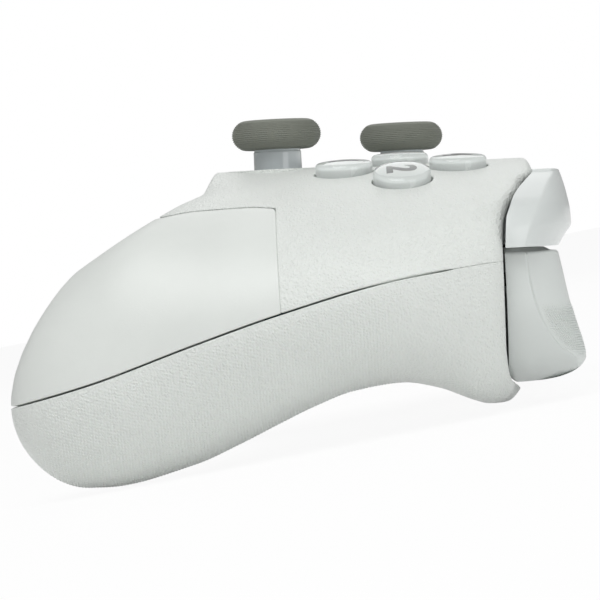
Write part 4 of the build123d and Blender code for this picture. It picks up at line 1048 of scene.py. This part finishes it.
def trigger_section(z):
    """Plan line of the right trigger at one height; its crease is at a fixed index."""
    front = float(curve_through(TRIGGER_FRONT, z))
    outer = float(curve_through(TRIGGER_OUTER, z))
    crease = min(float(curve_through(TRIGGER_CREASE, z)), front - 1.5)
    step = CREASE_STEP * float(ease(z, -12.6, -10.8))
    line = [(TRIGGER_INNER, y) for y in np.linspace(TRIGGER_BACK, front - TRIGGER_CORNER, 8)]
    start = TRIGGER_INNER + TRIGGER_CORNER
    line += arc(start, front - TRIGGER_CORNER, TRIGGER_CORNER, 180, 90, 9)[1:]
    turn_x = outer - 11.0 + 5.0 * (1 - float(ease(z, -14, -4)))
    line += [(x, front) for x in np.linspace(start, turn_x, 12)[1:]]
    rim = outer - CREASE_INSET
    end = rim - step
    for share in np.linspace(0, 1, 40)[1:]:
        y = crease + (front - crease) * (1 - share**FINGER_POWER)
        line.append((turn_x + (end - turn_x) * share, y))
    line.append((rim - step * 0.45, crease + step * 0.10))
    line.append((rim, crease - CREASE_DROP))
    for share in np.linspace(0, 1, 22)[1:]:
        y = crease - CREASE_DROP + share * (TRIGGER_BACK - crease + CREASE_DROP)
        line.append((rim + CREASE_INSET * math.sin(share * math.pi / 2), y))
    return np.array(line)


def trigger_floor(y):
    """Height of the trigger's underside."""
    return curve_through(TRIGGER_FLOOR, y)


heights = np.linspace(TRIGGER_TOP - TRIGGER_EDGE, TRIGGER_LOW, 110)
heights = np.concatenate([[TRIGGER_TOP], heights])
trigger = hood(trigger_section, heights, TRIGGER_EDGE, TRIGGER_WALL, TRIGGER_SWELL, trigger_floor)
both_sides("trigger", *trigger, GLOSS)

# Diamond points on the finger face
POINT_PITCH = 0.56
POINT_RADIUS = 0.27
POINT_HEIGHT = 0.19
POINTS_LOW = -12.0
POINTS_HIGH = -1.6
FINGER_FACE = slice(16, 66)
patch = []
for r, z in enumerate(np.arange(POINTS_LOW, POINTS_HIGH, POINT_PITCH * 0.8)):
    line = trigger_section(z)[FINGER_FACE]
    lifted = trigger_section(z + 0.1)[FINGER_FACE]
    run = run_along(*line.T)
    at = np.arange(0.6 + (r % 2) * POINT_PITCH / 2, run[-1] - 0.5, POINT_PITCH)
    px, py = np.interp(at, run, line[:, 0]), np.interp(at, run, line[:, 1])
    way = unit(np.gradient(line, axis=0))
    out = np.column_stack([np.interp(at, run, -way[:, 1]), np.interp(at, run, way[:, 0])])
    rise = np.interp(at, run, (lifted - line)[:, 1]) / 0.1
    n = unit(np.column_stack([out, -rise * out[:, 1]]))
    fade = ease(at, 0.4, 1.6) * ease(run[-1] - at, 0.4, 2.2)
    fade = fade * (1 - ease(z, -3.6, POINTS_HIGH)) * ease(z, -12.2, -11.0)
    keep = fade > 0.15
    centres = np.column_stack([px, py, np.full_like(px, z)])
    patch.append((centres[keep], n[keep], fade[keep]))
spots, ways, sizes = [np.concatenate(part) for part in zip(*patch)]
for side, sign in SIDES:
    flip = np.array([sign, 1, 1])
    verts, tris = dot_mesh(spots * flip, ways * flip, sizes, POINT_RADIUS, POINT_HEIGHT, sides=4)
    node = f"{side}_trigger"
    add_mesh(f"{node}_points", verts, tris, node, GLOSS)

BUMPER_FRONT = [
    (8.2, 49.6), (10.9, 51.4), (12.2, 52.4), (12.7, 52.5), (15.1, 52.4), (17.9, 52.0),
    (20.8, 51.4), (23.3, 50.7),
]
BUMPER_CREASE = [
    (8.2, 42.7), (9.3, 43.0), (12.6, 44.2), (15.4, 45.4), (18.1, 46.8), (20.2, 47.8), (23.3, 49.2),
]
BUMPER_BACK = [
    (8.2, 38.8), (9.2, 38.85), (13.9, 39.3), (15.7, 39.95), (17.9, 40.95), (19.7, 42.35),
    (21.6, 44.35), (22.4, 45.2), (23.3, 46.6),
]
BUMPER_OUTER = [
    (8.2, 70.0), (10.0, 69.8), (12.0, 69.2), (14.0, 68.1), (15.2, 67.1), (16.2, 66.1),
    (17.2, 64.6), (18.4, 62.3), (20.0, 58.8), (21.2, 55.8), (22.4, 52.0), (23.3, 48.5),
]
BUMPER_INNER = 21.6
BUMPER_TOP = 22.9
BUMPER_LOW = 8.5
BUMPER_EDGE = 0.5
BUMPER_CORNER = 0.8
BUMPER_WALL = 1.3
BAND_SHARE = 0.22
FACET_POWER = 5.5
CREASE_AT = 81


def bumper_section(z):
    """Plan line of the right bumper at one height: inner side, front facet, crease, side band."""
    front = float(curve_through(BUMPER_FRONT, z))
    back = float(curve_through(BUMPER_BACK, z))
    crease = float(curve_through(BUMPER_CREASE, z))
    outer = float(curve_through(BUMPER_OUTER, z))
    line = [(BUMPER_INNER, y) for y in np.linspace(back, front - BUMPER_CORNER, 8)]
    start = BUMPER_INNER + BUMPER_CORNER
    line += arc(start, front - BUMPER_CORNER, BUMPER_CORNER, 180, 90, 6)[1:]
    turn_x = outer - BAND_SHARE * (crease - back)
    for share in np.linspace(0, 1, 70)[1:]:
        y = crease + (front - crease) * (1 - share**FACET_POWER)
        line.append((start + (turn_x - start) * share, y))
    for share in np.linspace(0, 1, 24)[1:]:
        x = turn_x + (outer - turn_x) * math.sin(share * math.pi / 2)
        line.append((x, crease + share * (back - crease)))
    return soften(np.array(line), CREASE_AT, 3)


below = BUMPER_TOP - BUMPER_EDGE
heights = below - (below - BUMPER_LOW) * np.linspace(0, 1, 120)**1.3
heights = np.concatenate([[BUMPER_TOP], heights])
both_sides("bumper", *hood(bumper_section, heights, BUMPER_EDGE, BUMPER_WALL), PEARL)


# Finishes of the nodes that keep their own mesh

FINISHES = [
    (SHELL, "bridge left_stick_ring right_stick_ring"),
    (PEARL, "direction_pad"),
    (BUTTON_WHITE, "minus_button plus_button capture_button home_button"),
    (DARK, "inner_frame left_stick_housing right_stick_housing direction_pad_hub"),
    (DARK, "left_stick_rocker right_stick_rocker"),
    (BOARD, "main_board"),
    (SILICONE, "face_button_membrane direction_pad_membrane left_stick_pivot right_stick_pivot"),
    (STEEL, "usb_socket left_rumble_motor right_rumble_motor shell_screws"),
    (STEEL, "trigger_pins trigger_springs"),
    (CELL, "battery"),
    (BRASS, "left_rumble_weight right_rumble_weight"),
]
for material, nodes in FINISHES:
    for node in nodes.split():
        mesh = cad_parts[node].data
        mesh.materials.clear()
        mesh.materials.append(material)


# Stage, light and camera

def any_ray(tree, *kinds):
    """1 for rays of the kinds named, else 0."""
    path = add_node(tree, "LightPath", {})
    seen = path.outputs[kinds[0]]
    for kind in kinds[1:]:
        seen = add_node(tree, "Math", {0: seen, 1: path.outputs[kind]}, "MAXIMUM").outputs[0]
    return seen


def stage_material(name, shade_share):
    """White to the camera, to gloss and through glass, with a share of real shading left."""
    m, tree = shader_tree(name)
    tree.nodes.clear()
    matt = add_node(tree, "BsdfDiffuse", {"Color": (0.95, 0.95, 0.95, 1)})
    white = add_node(tree, "Emission", {"Color": (1, 1, 1, 1)})
    seen = any_ray(tree, "Is Camera Ray", "Is Glossy Ray", "Is Transmission Ray")
    part = add_node(tree, "Math", {0: seen, 1: 1 - shade_share}, "MULTIPLY")
    mix = {"Fac": part.outputs[0], 1: matt.outputs[0], 2: white.outputs[0]}
    mix = add_node(tree, "MixShader", mix)
    add_node(tree, "OutputMaterial", {"Surface": mix.outputs[0]})
    return m


bpy.ops.mesh.primitive_grid_add(x_subdivisions=4, y_subdivisions=4, size=8.0,
                                location=(0, 0, -0.0005))
floor = bpy.context.object
floor.name = "floor"
floor.data.materials.append(stage_material("floor_white", 0.07))

scene.view_settings.view_transform = "Standard"
world = bpy.data.worlds.new("studio")
scene.world = world
world.use_nodes = True
sky = world.node_tree
seen = any_ray(sky, "Is Camera Ray", "Is Transmission Ray")
level = add_node(sky, "MapRange", {"To Min": 0.36, "To Max": 1.0, "Value": seen})
fill(sky, sky.nodes["Background"], {"Color": (1, 1, 1, 1), "Strength": level.outputs["Result"]})


def lamp(name, place_at, aim, size, power):
    """A soft rectangular lamp that faces a place."""
    light = bpy.data.lights.new(name, "AREA")
    light.shape = "RECTANGLE"
    light.size, light.size_y = size
    light.energy = power
    holder = bpy.data.objects.new(name, light)
    scene.collection.objects.link(holder)
    holder.location = place_at
    holder.rotation_mode = "QUATERNION"
    holder.rotation_quaternion = (Vector(aim) - Vector(place_at)).to_track_quat("-Z", "Y")


middle = Vector((0, SHIFT[1] * MM, SHIFT[2] * MM))
lamp("key_lamp", (0.5, -0.1, 0.9), middle, (0.7, 0.7), 4.8)
lamp("side_lamp", (0.8, 0.7, 0.3), middle, (0.5, 0.8), 2.0)
lamp("far_lamp", (-0.8, 0.2, 0.7), middle, (0.7, 0.7), 1.6)

YAW = math.radians(0.9)
RISE = math.radians(0.6)
DISTANCE = 0.8
UP = Vector((0, 0.1973, 0.9803))
camera_data = bpy.data.cameras.new("camera")
camera = bpy.data.objects.new("camera", camera_data)
scene.collection.objects.link(camera)
camera_data.sensor_width = 36.0
camera_data.lens = 240.5
camera_data.clip_start = 0.01
away = Vector((math.cos(RISE) * math.cos(YAW), math.cos(RISE) * math.sin(YAW), math.sin(RISE)))
right = UP.cross(away).normalized()
above = away.cross(right)
turning = Matrix((right, above, away)).transposed().to_4x4()
camera.matrix_world = Matrix.Translation(middle + away * DISTANCE) @ turning
scene.camera = camera
